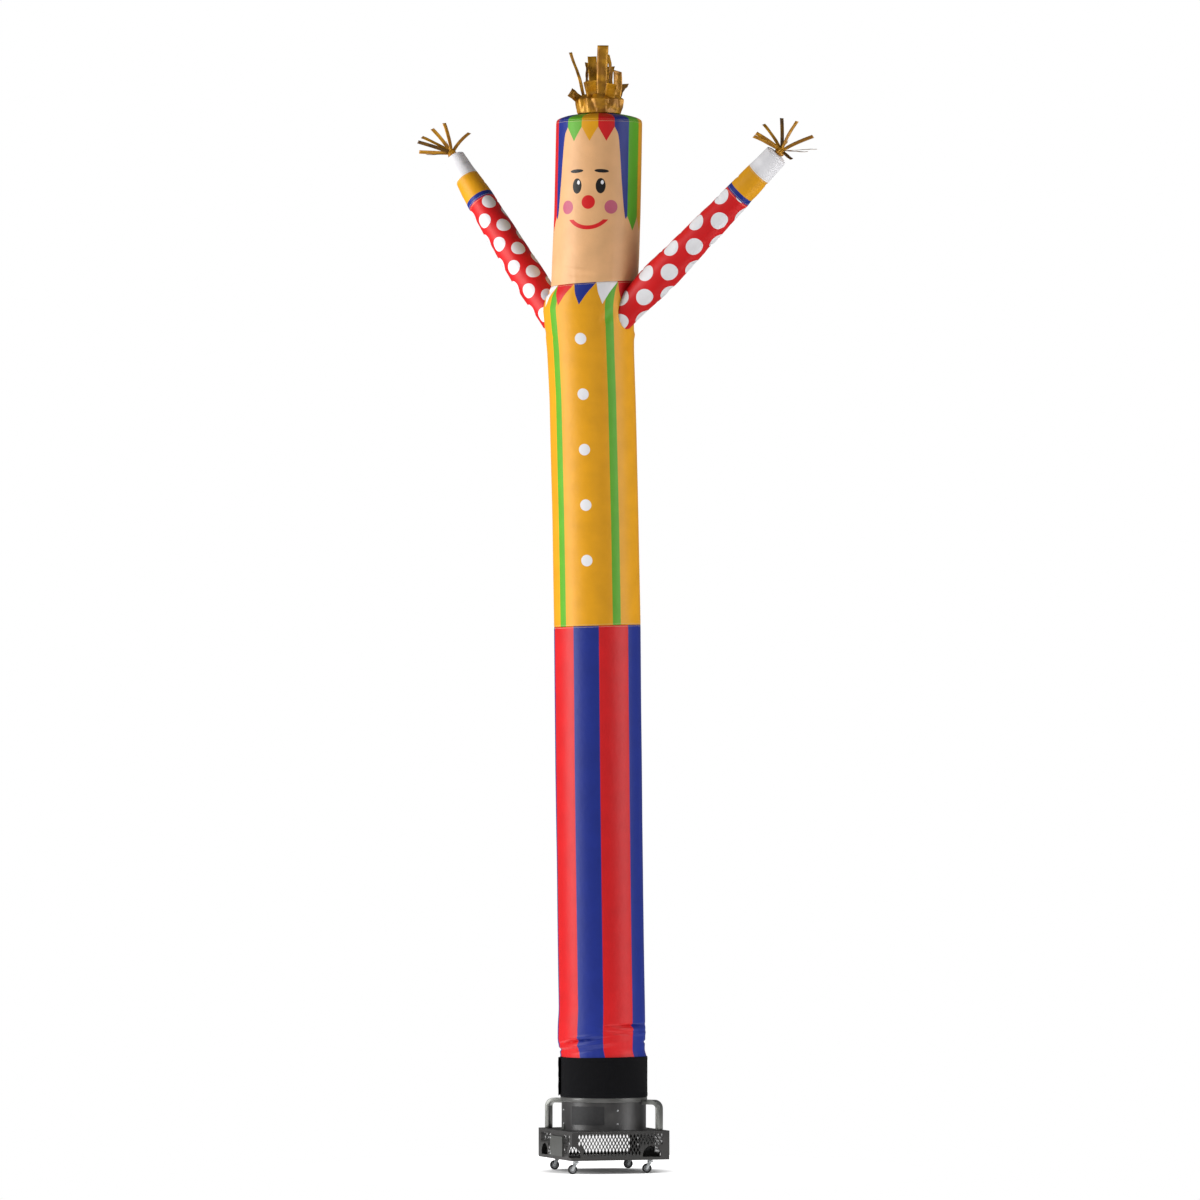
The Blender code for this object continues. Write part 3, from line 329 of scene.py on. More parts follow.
# The prints. PRINT_FRONT is how far round the tube the shirt's buttons are, in degrees; heights
# are the tube's own, and widths are metres of cloth
PRINT_FRONT = -12.5
ARC = math.radians(1.0) * TUBE_RADIUS
Band = namedtuple("Band", "middle half")
BLUE_STRIPES = [Band(-15.75, 17.75), Band(67.5, 22.5), Band(157.5, 22.5), Band(-106.75, 28.25)]
BRACE_ASIDE = 39.5
BRACE_WIDE = 0.047
LOCKS = 16
FRINGE_HIGH = 5.395
FRINGE_LOW = 4.930
FRINGE_POINT = 0.075
FRINGE_SIDES = (0.150, 0.215)
COLLAR_POINTS = 12
COLLAR_DEEP = 0.115
BUTTON_HEIGHTS = (4.36, 4.07, 3.78, 3.49, 3.20)
BUTTON_RADIUS = 0.030

# Round marks of the print: place, half sizes, turn and ink
Mark = namedtuple("Mark", "across z half_wide half_tall turn ink")
FACE = [
    Mark(-0.064, 5.160, 0.026, 0.040, 0.0, "dark"),
    Mark(0.064, 5.160, 0.026, 0.040, 0.0, "dark"),
    Mark(-0.056, 5.178, 0.008, 0.011, 0.0, "white"),
    Mark(0.072, 5.178, 0.008, 0.011, 0.0, "white"),
    Mark(-0.068, 5.238, 0.038, 0.0095, -3.0, "dark"),
    Mark(0.068, 5.238, 0.038, 0.0095, 3.0, "dark"),
    Mark(-0.122, 5.050, 0.036, 0.036, 0.0, "pink"),
    Mark(0.122, 5.050, 0.036, 0.036, 0.0, "pink"),
    Mark(0.000, 5.075, 0.036, 0.036, 0.0, "red"),
]
SMILE_MIDDLE = 5.070
SMILE_RADIUS = 0.128
SMILE_HALF = 0.0105
SMILE_BELOW = 4.984
CUFF_EDGE = 0.030

INKS = {
    "red": "#cd161a",
    "blue": "#182a80",
    "yellow": "#dc9a10",
    "green": "#58a31c",
    "white": "#e2e1e4",
    "skin": "#dfab78",
    "dark": "#100d0b",
    "pink": "#bd5a72",
}


def linear(code):
    """The linear colour of an sRGB hex code."""
    parts = [int(code[start:start + 2], 16) / 255 for start in (1, 3, 5)]
    return tuple(
        part / 12.92 if part <= 0.04045 else ((part + 0.055) / 1.055) ** 2.4 for part in parts
    ) + (1.0,)


def add(tree, kind, *values, sockets=None, **settings):
    """A node with its settings. values go on its sockets in order and sockets on them by name,
    each a number, a colour, a node (its first output) or a node's output."""
    node = tree.nodes.new(f"ShaderNode{kind}")
    for name, value in settings.items():
        setattr(node, name, value)
    given = [(place, value) for place, value in enumerate(values) if value is not None]
    for socket, value in given + list((sockets or {}).items()):
        if isinstance(value, bpy.types.Node):
            value = value.outputs[0]
        if isinstance(value, bpy.types.NodeSocket):
            tree.links.new(value, node.inputs[socket])
        else:
            node.inputs[socket].default_value = value
    return node


def blank(name):
    """A new material, with its node tree and its shader."""
    material = bpy.data.materials.new(name)
    material.use_nodes = True
    tree = material.node_tree
    return material, tree, tree.nodes["Principled BSDF"]


def finished(tree, shader, colour, height, depth, strength, **plain):
    """Joins a material's colour and its relief, depth high, to the shader; plain are its numbers."""
    tree.links.new(colour, shader.inputs["Base Color"])
    if depth != 1.0:
        height = add(tree, "Math", height, depth, operation="MULTIPLY")
    bump = add(tree, "Bump", sockets={"Height": height, "Strength": strength, "Distance": 1.0})
    tree.links.new(bump.outputs[0], shader.inputs["Normal"])
    for name, value in plain.items():
        shader.inputs[name.replace("_", " ")].default_value = value


def laid(tree, ground, ink, mask):
    """The ink over the ground where the mask is 1."""
    ink = linear(INKS[ink]) if isinstance(ink, str) else ink
    over = add(tree, "Mix", data_type="RGBA", sockets={"Factor": mask, 6: ground, 7: ink})
    return over.outputs[2]


def under(tree, value, limit, soft=0.0008):
    """1 where the value is less than the limit, with an edge as soft as printed cloth's."""
    reach = (limit - soft, limit + soft)
    return add(tree, "MapRange", value, reach[0], reach[1], 1.0, 0.0, interpolation_type="SMOOTHSTEP")


def mark(tree, spot, row, front):
    """The mask of one elliptical mark on the cloth."""
    moved = add(tree, "VectorMath", spot, (front + row.across, row.z, 0.0), operation="SUBTRACT")
    turned = add(
        tree, "VectorRotate", moved, rotation_type="Z_AXIS",
        sockets={"Angle": math.radians(row.turn)},
    )
    shared = add(
        tree, "VectorMath", turned, (row.half_wide, row.half_tall, 1.0), operation="DIVIDE"
    )
    length = add(tree, "VectorMath", shared, operation="LENGTH").outputs["Value"]
    return under(tree, length, 1.0, 0.03)


def all_of(tree, *masks):
    """1 where every mask is 1."""
    first = masks[0]
    for other in masks[1:]:
        first = add(tree, "Math", first, other, operation="MULTIPLY")
    return first


def clear_scene_of_helpers():
    """The lights and cameras that the new file came with go."""
    for obj in list(bpy.data.objects):
        if obj.type in {"LIGHT", "CAMERA"}:
            bpy.data.objects.remove(obj)


# Coated nylon, woven with a square grid of thicker threads. The grid is 6 mm here, so that it
# shows near by; the coat gives the cloth a satin shine that is broad and soft.
RIPSTOP = 0.006
RIPSTOP_HIGH = 0.00004
SLACK_HIGH = 0.0011

# Two rows of stitches run beside each seam: their pitch, how far off, and half a stitch's size
STITCH = 0.0042
STITCH_AWAY = 0.0065
STITCH_HALF = (0.0016, 0.0007)
THREAD = "#c9b48c"


def nylon(name, draw, seams=()):
    """The finish of the dancer's cloth. draw(tree, spot, across, up) gives the printed colour."""
    material, tree, shader = blank(name)
    spot = add(tree, "UVMap", uv_map="cloth")
    parts = add(tree, "SeparateXYZ", spot)
    across, up = parts.outputs["X"], parts.outputs["Y"]
    colour = draw(tree, spot, across, up)
    uneven = add(tree, "TexNoise", spot, sockets={"Scale": 9.0, "Detail": 3.0})
    fade = add(tree, "MapRange", uneven, 0.3, 0.7, 0.93, 1.05)
    shade = add(tree, "HueSaturation", sockets={"Value": fade, "Color": colour})
    colour = shade.outputs[0]
    for seam in seams:
        far = add(tree, "Math", up, seam, operation="SUBTRACT")
        far = add(tree, "Math", far, operation="ABSOLUTE")
        far = add(tree, "Math", far, STITCH_AWAY, operation="SUBTRACT")
        far = add(tree, "Math", far, operation="ABSOLUTE")
        dash = add(tree, "Math", across, STITCH / 2, operation="PINGPONG")
        thread = all_of(
            tree, under(tree, far, STITCH_HALF[1], 0.0003), under(tree, dash, STITCH_HALF[0], 0.0002)
        )
        colour = laid(tree, colour, linear(THREAD), thread)
    threads = [add(tree, "Math", side, RIPSTOP / 2, operation="PINGPONG") for side in (across, up)]
    nearest = add(tree, "Math", threads[0], threads[1], operation="MINIMUM")
    ridge = add(tree, "MapRange", nearest, 0.0, 0.0007, 1.0, 0.0, interpolation_type="SMOOTHSTEP")
    slack = add(tree, "TexNoise", spot, sockets={"Scale": 34.0, "Detail": 4.0, "Roughness": 0.55})
    raised = add(tree, "Math", ridge, RIPSTOP_HIGH, operation="MULTIPLY")
    waved = add(tree, "Math", slack, SLACK_HIGH, operation="MULTIPLY")
    height = add(tree, "Math", raised, waved, operation="ADD")
    finished(tree, shader, colour, height, 1.0, 1.0, Roughness=0.46, Specular_IOR_Level=0.30)
    return material


def leg_print(tree, spot, across, up):
    """Broad stripes, blue on red, down the length."""
    colour = linear(INKS["red"])
    for stripe in BLUE_STRIPES:
        band = band_round(tree, across, stripe.middle * ARC, stripe.half * ARC)
        colour = laid(tree, colour, "blue", band)
    return colour


def band_round(tree, across, middle, half):
    """1 within half of an upright line on the tube."""
    far = add(tree, "Math", across, middle, operation="SUBTRACT")
    far = add(tree, "Math", far, operation="ABSOLUTE")
    return under(tree, far, half)


def shirt_print(tree, spot, across, up):
    """Yellow, with plain green stripes, round buttons and a ring of pointed flags at the neck."""
    colour = linear(INKS["yellow"])
    for side in (-BRACE_ASIDE, BRACE_ASIDE, 180.0 - BRACE_ASIDE, BRACE_ASIDE - 180.0):
        place = (PRINT_FRONT + side + 180.0) % 360.0 - 180.0
        colour = laid(tree, colour, "green", band_round(tree, across, place * ARC, BRACE_WIDE / 2))
    for height in BUTTON_HEIGHTS:
        button = Mark(0.0, height, BUTTON_RADIUS, BUTTON_RADIUS, 0.0, "white")
        colour = laid(tree, colour, "white", mark(tree, spot, button, PRINT_FRONT * ARC))
    every = 360.0 * ARC / COLLAR_POINTS
    moved = add(tree, "Math", across, PRINT_FRONT * ARC - every / 2, operation="SUBTRACT")
    count = add(tree, "Math", moved, 3 * every, operation="FLOORED_MODULO")
    slope = add(tree, "Math", moved, every, operation="FLOORED_MODULO")
    slope = add(tree, "Math", slope, every / 2, operation="SUBTRACT")
    slope = add(tree, "Math", slope, operation="ABSOLUTE")
    drop = add(tree, "Math", slope, 2 * COLLAR_DEEP / every, operation="MULTIPLY")
    edge = add(tree, "Math", drop, NECK - COLLAR_DEEP, operation="ADD")
    below = add(tree, "Math", edge, up, operation="SUBTRACT")
    flag = laid(tree, linear(INKS["red"]), "white", under(tree, count, 2 * every))
    flag = laid(tree, flag, "blue", under(tree, count, every))
    return laid(tree, colour, flag, under(tree, below, 0.0))


def head_print(tree, spot, across, up):
    """A plain merry face under a fringe of pointed locks in four colours."""
    front = PRINT_FRONT * ARC
    colour = linear(INKS["skin"])
    for row in FACE:
        colour = laid(tree, colour, row.ink, mark(tree, spot, row, front))
    smile = add(tree, "VectorMath", spot, (front, SMILE_MIDDLE, 0.0), operation="SUBTRACT")
    length = add(tree, "VectorMath", smile, operation="LENGTH").outputs["Value"]
    far = add(tree, "Math", length, SMILE_RADIUS, operation="SUBTRACT")
    far = add(tree, "Math", far, operation="ABSOLUTE")
    lips = all_of(tree, under(tree, far, SMILE_HALF), under(tree, up, SMILE_BELOW))
    colour = laid(tree, colour, "red", lips)
    wide = 360.0 * ARC / LOCKS
    moved = add(tree, "Math", across, front, operation="SUBTRACT")
    aside = add(tree, "Math", moved, operation="ABSOLUTE")
    edge = add(
        tree, "MapRange", aside, *FRINGE_SIDES, FRINGE_HIGH, FRINGE_LOW,
        interpolation_type="SMOOTHSTEP",
    )
    point = add(tree, "Math", moved, wide / 2, operation="PINGPONG")
    point = add(tree, "Math", point, 2 * FRINGE_POINT / wide, operation="MULTIPLY")
    edge = add(tree, "Math", edge, point, operation="ADD")
    below = add(tree, "Math", edge, up, operation="SUBTRACT")
    round_by = add(tree, "Math", moved, wide / 2, operation="ADD")
    count = add(tree, "Math", round_by, 4 * wide, operation="FLOORED_MODULO")
    locks = linear(INKS["green"])
    for step, ink in ((3, "blue"), (2, "red"), (1, "yellow")):
        locks = laid(tree, locks, ink, under(tree, count, step * wide))
    return laid(tree, colour, locks, under(tree, below, 0.0))


def sleeve_print(arm):
    def draw(tree, spot, across, up):
        """Red with white dots in staggered rows, a plain cuff band and a white hand."""
        along = add(tree, "Math", up, arm.first_along, operation="SUBTRACT")
        row = add(tree, "Math", across, arm.first_row - arm.pitch / 4, operation="SUBTRACT")
        row = add(tree, "Math", row, arm.pitch / 2, operation="DIVIDE")
        number = add(tree, "Math", row, operation="FLOOR")
        odd = add(tree, "Math", number, 2.0, operation="FLOORED_MODULO")
        shift = add(tree, "Math", odd, arm.pitch / 2, operation="MULTIPLY")
        along = add(tree, "Math", along, shift, operation="ADD")
        along = add(tree, "Math", along, arm.pitch / 2, operation="PINGPONG")
        within = add(tree, "Math", row, number, operation="SUBTRACT")
        within = add(tree, "Math", within, 0.5, operation="SUBTRACT")
        within = add(tree, "Math", within, arm.pitch / 2, operation="MULTIPLY")
        pair = add(tree, "CombineXYZ", along, within)
        far = add(tree, "VectorMath", pair, operation="LENGTH").outputs["Value"]
        colour = laid(tree, linear(INKS["red"]), "white", under(tree, far, arm.pitch * DOT_SHARE))
        flipped = add(tree, "Math", arm.cuff, up, operation="SUBTRACT")
        colour = laid(tree, colour, "blue", under(tree, flipped, 0.0))
        flipped = add(tree, "Math", arm.cuff + CUFF_EDGE, up, operation="SUBTRACT")
        colour = laid(tree, colour, "yellow", under(tree, flipped, 0.0))
        flipped = add(tree, "Math", arm.hand, up, operation="SUBTRACT")
        return laid(tree, colour, "white", under(tree, flipped, 0.0))

    return draw


def webbing(name):
    """Black nylon webbing: a thick dull weave, 3 mm here so that it shows, with a little fuzz."""
    material, tree, shader = blank(name)
    spot = add(tree, "UVMap", uv_map="cloth")
    weave = add(
        tree, "TexWave", spot, wave_type="BANDS", bands_direction="Y",
        sockets={"Scale": 100.0, "Distortion": 1.5, "Detail Scale": 3.0},
    )
    cross = add(
        tree, "TexWave", spot, wave_type="BANDS", bands_direction="X",
        sockets={"Scale": 100.0, "Distortion": 1.5, "Detail Scale": 3.0},
    )
    both = add(tree, "Math", weave, cross, operation="MULTIPLY")
    patchy = add(tree, "TexNoise", spot, sockets={"Scale": 25.0, "Detail": 4.0})
    tone = add(tree, "Math", both, patchy, operation="MULTIPLY")
    tint = add(tree, "MapRange", tone, 0.0, 0.6, 0.0, 1.0)
    colour = laid(tree, linear("#08080a"), linear("#131316"), tint)
    finished(tree, shader, colour, both, 0.0004, 0.8, Roughness=0.92, Specular_IOR_Level=0.12)
    return material


def satin_ribbon(name, low, high):
    """Satin ribbon: long threads that run with it and shine like dull metal, and soft creases, whose
    hollows are darkened and ridges lightened by painted shade and light.
    """
    material, tree, shader = blank(name)
    spot = add(tree, "UVMap", uv_map="cloth")
    long = add(tree, "Mapping", spot, sockets={"Scale": (900.0, 12.0, 1.0)})
    threads = add(tree, "TexNoise", long, sockets={"Scale": 1.0, "Detail": 2.0})
    crease_relief_and_shade = add(tree, "TexNoise", spot, sockets={"Scale": 14.0, "Detail": 2.0, "Distortion": 0.6})
    # Painted shade and light: the colour runs from low in the creases' hollows to high on their
    # ridges, following the crease relief.
    tone = add(tree, "MapRange", crease_relief_and_shade, 0.35, 0.68, 0.0, 1.0, interpolation_type="SMOOTHSTEP")
    colour = laid(tree, linear(low), linear(high), tone)
    fine = add(tree, "Math", threads, 0.00005, operation="MULTIPLY")
    wide = add(tree, "Math", crease_relief_and_shade, 0.0007, operation="MULTIPLY")
    height = add(tree, "Math", fine, wide, operation="ADD")
    finished(tree, shader, colour, height, 1.0, 0.9, Metallic=0.30, Roughness=0.40)
    return material


def powder_coat(name, code, worn, roughness=0.46):
    """Steel sheet with a baked powder coat: a fine orange peel, dust, and rubbed lighter spots."""
    material, tree, shader = blank(name)
    place = add(tree, "TexCoord").outputs["Object"]
    dust = add(tree, "TexNoise", place, sockets={"Scale": 11.0, "Detail": 5.0})
    speck = add(tree, "TexNoise", place, sockets={"Scale": 320.0, "Detail": 1.0})
    tone = add(tree, "MapRange", dust, 0.42, 0.72, 0.0, 0.55, interpolation_type="SMOOTHSTEP")
    colour = laid(tree, linear(code), linear(worn), tone)
    rough = add(tree, "MapRange", dust, 0.3, 0.7, roughness - 0.06, roughness + 0.10)
    tree.links.new(rough.outputs[0], shader.inputs["Roughness"])
    finished(tree, shader, colour, speck, 0.00010, 0.7, Metallic=0.15)
    return material


def bare_metal(name, code, grain, roughness):
    """Metal with the fine lines of rolling and brushing, along its length, and a soft shine."""
    material, tree, shader = blank(name)
    place = add(tree, "TexCoord").outputs["Object"]
    long = add(tree, "Mapping", place, sockets={"Scale": grain})
    lines = add(tree, "TexNoise", long, sockets={"Scale": 1.0, "Detail": 3.0})
    tone = add(tree, "MapRange", lines, 0.3, 0.7, 0.0, 1.0)
    dark = tuple(part * 0.72 for part in linear(code)[:3]) + (1.0,)
    colour = laid(tree, dark, linear(code), tone)
    rough = add(tree, "MapRange", lines, 0.3, 0.7, roughness - 0.05, roughness + 0.08)
    tree.links.new(rough.outputs[0], shader.inputs["Roughness"])
    finished(tree, shader, colour, lines, 0.00005, 0.6, Metallic=0.85)
    return material


def moulded(name, code, roughness, grain):
    """Moulded rubber or plastic with a fine even texture from the mould and a little dust."""
    material, tree, shader = blank(name)
    place = add(tree, "TexCoord").outputs["Object"]
    fine = add(tree, "TexNoise", place, sockets={"Scale": grain, "Detail": 2.0})
    dust = add(tree, "TexNoise", place, sockets={"Scale": 60.0, "Detail": 4.0})
    light = tuple(min(1.0, part * 1.8 + 0.01) for part in linear(code)[:3]) + (1.0,)
    tone = add(tree, "MapRange", dust, 0.45, 0.8, 0.0, 0.6)
    colour = laid(tree, linear(code), light, tone)
    finished(tree, shader, colour, fine, 0.00006, 0.5, Roughness=roughness)
    return material


def piece(name, shape, materials, body="root", stands_for=(), sharp=30.0):
    """A finished piece from a bmesh, riding on its body and standing for its nodes."""
    mesh = bpy.data.meshes.new(name)
    shape.to_mesh(mesh)
    shape.free()
    mesh.shade_smooth()
    mesh.set_sharp_from_angle(angle=math.radians(sharp))
    for material in materials if isinstance(materials, (list, tuple)) else [materials]:
        mesh.materials.append(material)
    obj = bpy.data.objects.new(name, mesh)
    bpy.context.scene.collection.objects.link(obj)
    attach(obj, body)
    if stands_for:
        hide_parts(*stands_for)
    return obj


def thicken(obj, thickness, offset=-1.0):
    """Gives a sheet its thickness."""
    step = obj.modifiers.new("thickness", "SOLIDIFY")
    step.thickness = thickness
    step.offset = offset
    step.use_even_offset = False
    return step


def turned_about(middle, degrees, radius, z):
    """The point at this place round an upright axis; 0 faces the front, plus goes across."""
    angle = math.radians(degrees)
    return middle + (ACROSS * math.sin(angle) - AWAY * math.cos(angle)) * radius + UP * z


def cloth_shape(columns, rows, place, spot_of, merge=True):
    """A grid of cloth. place(turn, row) puts each corner, turn from -0.5 to 0.5 round or over
    it, and spot_of(turn, row) is where that corner is on the flat printed cloth."""
    shape = bmesh.new()
    flat = shape.loops.layers.uv.new("cloth")
    bmesh.ops.create_grid(shape, x_segments=columns, y_segments=rows, size=0.5)
    spots = {vert: (vert.co.x, round((vert.co.y + 0.5) * rows)) for vert in shape.verts}
    for face in shape.faces:
        for loop in face.loops:
            loop[flat].uv = spot_of(*spots[loop.vert])
    for vert, spot in spots.items():
        vert.co = place(*spot)
    if merge:
        bmesh.ops.remove_doubles(shape, verts=shape.verts, dist=1e-5)
    bmesh.ops.recalc_face_normals(shape, faces=shape.faces)
    return shape


def between(table, key, z):
    """The table's two rows round a value and the share of the way between them."""
    for low, high in zip(table, table[1:]):
        if z <= getattr(high, key):
            start, end = getattr(low, key), getattr(high, key)
            return low, high, min(max((z - start) / (end - start), 0.0), 1.0)
    return table[-2], table[-1], 1.0


def ring_at(z):
    """The lean and the radius of the tube at a height, with the table's corners rounded off."""
    lean, radius = 0.0, 0.0
    steps = (-0.012, -0.004, 0.004, 0.012)
    for step in steps:
        low, high, share = between(RINGS, "z", z + step)
        lean += low.lean + (high.lean - low.lean) * share
        radius += low.radius + (high.radius - low.radius) * share
    return lean / len(steps), radius / len(steps)


def swell(distance, half):
    """1 at the middle, falling smoothly to 0 at half on either side."""
    share = min(abs(distance) / half, 1.0)
    return (1.0 + math.cos(math.pi * share)) / 2


def creased(degrees, z):
    """How far the creases push the wall out at a place on the tube."""
    push = 0.0
    for crease in CREASES:
        round_by = (degrees - crease.turn + 180.0) % 360.0 - 180.0
        if abs(round_by) < crease.reach:
            middle = crease.z + crease.rise * round_by
            if abs(z - middle) < crease.half:
                push += crease.depth * swell(round_by, crease.reach) * swell(z - middle, crease.half)
    return push


def puckered(degrees, z):
    """The small gathers beside each seam, and the slight slackness of the whole wall."""
    angle = math.radians(degrees)
    side = Vector((math.cos(angle), math.sin(angle), 0.0))
    push = 0.0012 * noise.noise(side * 1.9 + UP * (z * 2.2))
    for seam in SEAMS:
        far = abs(z - seam.z)
        if far < 4 * seam.reach:
            fade = math.exp(-far / seam.reach)
            ripple = noise.noise(side * 9.0 + UP * (z * 3.0 + seam.z))
            push += seam.pucker * fade * ripple - seam.draw * math.exp(-far / 0.006)
    return push


def tube_point(turn, z, more=0.0):
    """A point of the tube's wall, turn from -0.5 to 0.5 round it."""
    degrees = turn * 360.0
    lean, radius = ring_at(z)
    tilt = NECK_TILT * swell(z - NECK, 0.25) + WAIST_TILT * swell(z - WAIST, 0.25)
    lifted = z + tilt * math.sin(math.radians(degrees))
    wall = radius + creased(degrees, z) + puckered(degrees, z) + more
    return turned_about(MIDDLE + ACROSS * lean, degrees, wall, lifted)


def tube_heights(low, high, fine):
    """Rows up a tube: 18 mm apart, and closer within each (from, to, step) of fine."""
    heights = {low, high}
    count = round((high - low) / 0.018)
    heights |= {low + (high - low) * step / count for step in range(count + 1)}
    for start, end, step in fine:
        start, end = max(start, low), min(end, high)
        if end > start:
            rows = max(1, round((end - start) / step))
            kept = {z for z in heights if not start < z < end}
            heights = kept | {start + (end - start) * row / rows for row in range(rows + 1)}
    return sorted(heights)


TUBE_COLUMNS = 240
FINE_ROWS = [
    (0.606, 0.830, 0.005),
    (WAIST - 0.040, WAIST + 0.040, 0.004),
    (4.340, 4.610, 0.009),
    (4.610, 4.760, 0.005),
    (SHOULDER - 0.040, SHOULDER, 0.004),
]


def tube(name, low, high, material, keep=None):
    """One cut length of the tube."""
    heights = tube_heights(low, high, FINE_ROWS)

    def place(turn, row):
        return tube_point(turn, heights[row])

    def spot_of(turn, row):
        return turn * 360.0 * ARC, heights[row]

    shape = cloth_shape(TUBE_COLUMNS, len(heights) - 1, place, spot_of)
    if keep is not None:
        gone = [face for face in shape.faces if not keep(face.calc_center_median())]
        bmesh.ops.delete(shape, geom=gone, context="FACES")
    obj = piece(name, shape, material, stands_for=[name.replace("_cloth", "")], sharp=60.0)
    thicken(obj, CLOTH)
    return obj


def arm_axes(arm):
    """The sleeve's root, direction and length, and two directions over it."""
    low, high, share = between(RINGS, "z", arm.root_z)
    lean = low.lean + (high.lean - low.lean) * share
    radius = low.radius + (high.radius - low.radius) * share
    root = turned_about(MIDDLE + ACROSS * lean, arm.turn, radius, arm.root_z)
    reach = ACROSS * arm.across + AWAY * arm.away + UP * arm.rise
    along = reach.normalized()
    top = (UP - along * along.z).normalized()
    return root, along, reach.length, top, along.cross(top)


AXES = {arm.name: arm_axes(arm) for arm in ARMS}


def sleeve_radius(arm, share):
    """The sleeve's radius at a share of its length, eased."""
    for step in range(len(RADII_AT) - 1):
        low, high = RADII_AT[step], RADII_AT[step + 1]
        if share <= high:
            part = (share - low) / (high - low)
            part = part * part * (3.0 - 2.0 * part)
            return arm.radii[step] + (arm.radii[step + 1] - arm.radii[step]) * part
    return arm.radii[-1]


def arm_point(arm, angle, distance, more=0.0):
    """A point of the sleeve's wall."""
    root, along, length, top, side = AXES[arm.name]
    share = min(max(distance / length, 0.0), 1.0)
    radius = sleeve_radius(arm, share) + more
    degrees = math.degrees(angle)
    for pinch in PINCHES + FINE_PINCHES:
        far = distance - pinch.along * length
        round_by = (degrees - pinch.turn + 180.0) % 360.0 - 180.0
        if abs(far) < pinch.half and abs(round_by) < pinch.reach:
            radius -= pinch.depth * swell(round_by, pinch.reach) * swell(far, pinch.half)
    around = Vector((math.cos(angle), math.sin(angle), 0.0))
    radius += 0.0016 * noise.noise(around * 1.6 + UP * distance * 9.0)
    radius += 0.0016 * math.exp(-max(distance, 0.0) / 0.05) * noise.noise(around * 5.0)
    sag = -UP * ARM_SAG * math.sin(math.pi * share)
    centre = root + along * distance + sag
    return centre + (top * math.cos(angle) + side * math.sin(angle)) * radius


def outside_shirt(spot):
    """How far outside the shirt's wall a point is."""
    rel = spot - MIDDLE
    lean, radius = ring_at(rel.z)
    flat = Vector((rel.x, rel.y, 0.0)) - ACROSS * lean
    return flat.length - radius


def sleeve_start(arm, angle):
    """How far along the sleeve it meets the shirt, at this place round it."""
    low, high = ARM_INSIDE, 0.30
    for _ in range(26):
        middle = (low + high) / 2
        if outside_shirt(arm_point(arm, angle, middle)) > -0.0015:
            high = middle
        else:
            low = middle
    return (low + high) / 2


ARM_COLUMNS = 96
ARM_ROWS = 150


def facing(arm):
    """The angle round the sleeve that faces the front."""
    top, side = AXES[arm.name][3:]
    return math.atan2(-AWAY.dot(side), -AWAY.dot(top))


def sleeve(arm):
    """A sleeve from where it meets the shirt to its round end."""
    length = AXES[arm.name][2]
    along = AXES[arm.name][1]
    last = length - HAND_ROUND
    front = facing(arm)
    starts = {}

    def start_at(turn):
        angle = front + turn * 2 * math.pi
        key = round((turn % 1.0) * ARM_COLUMNS) % ARM_COLUMNS
        if key not in starts:
            starts[key] = sleeve_start(arm, angle)
        return angle, starts[key]

    def place(turn, row):
        angle, start = start_at(turn)
        if row <= ARM_ROWS:
            return arm_point(arm, angle, start + (last - start) * row / ARM_ROWS)
        share, further = HAND_END[row - ARM_ROWS - 1]
        rim = arm_point(arm, angle, last)
        middle = (arm_point(arm, 0.0, last) + arm_point(arm, math.pi, last)) / 2
        return middle + (rim - middle) * share + along * further

    def spot_of(turn, row):
        start = start_at(turn)[1]
        if row <= ARM_ROWS:
            distance = start + (last - start) * row / ARM_ROWS
            radius = sleeve_radius(arm, min(max(distance / length, 0.0), 1.0))
            return turn * 2 * math.pi * radius, distance
        share = HAND_END[row - ARM_ROWS - 1][0]
        return turn * 2 * math.pi * arm.radii[-1] * share, last + (1.0 - share) * arm.radii[-1]

    shape = cloth_shape(ARM_COLUMNS, ARM_ROWS + len(HAND_END), place, spot_of)
    material = nylon(f"dotted nylon, {arm.name}", sleeve_print(arm), [arm.hand, arm.cuff])
    obj = piece(arm.name + "_cloth", shape, material, stands_for=[arm.name], sharp=60.0)
    thicken(obj, CLOTH)
    width = 2 * math.pi * max(arm.radii)
    2 * math.pi * sum(arm.radii) / len(arm.radii) * length
    return obj


def in_no_sleeve(spot):
    """False where the shirt is open into a sleeve."""
    for arm in ARMS:
        root, along = AXES[arm.name][:2]
        rel = spot - root
        distance = rel.dot(along)
        far = (rel - along * distance).length
        if distance > ARM_INSIDE and far < arm.radii[0] - 0.009:
            return False
    return True


CAP_ROWS = 26


def head_cap(material):
    """The round top panel: a flat dome, gathered a little where the ribbon is sewn on."""
    lean, radius = ring_at(SHOULDER)
    middle = MIDDLE + ACROSS * lean

    def share_at(row):
        return row / CAP_ROWS * math.pi / 2

    def place(turn, row):
        degrees = turn * 360.0
        share = share_at(row)
        angle = math.radians(degrees)
        side = Vector((math.cos(angle), math.sin(angle), 0.0))
        pleat = 0.0022 * math.sin(2 * share) * noise.noise(side * 7.0 + UP * 3.0)
        wall = (radius + puckered(degrees, SHOULDER)) * math.cos(share)
        rise = SHOULDER + GAP + (DOME - 0.002) * math.sin(share) + pleat
        return turned_about(middle, degrees, wall, rise)

    def spot_of(turn, row):
        return turn * 360.0 * ARC, SHOULDER + row / CAP_ROWS * radius

    shape = cloth_shape(TUBE_COLUMNS, CAP_ROWS, place, spot_of)
    obj = piece("head_cap_cloth", shape, material, stands_for=["head_cap"], sharp=60.0)
    thicken(obj, CLOTH)
    return obj


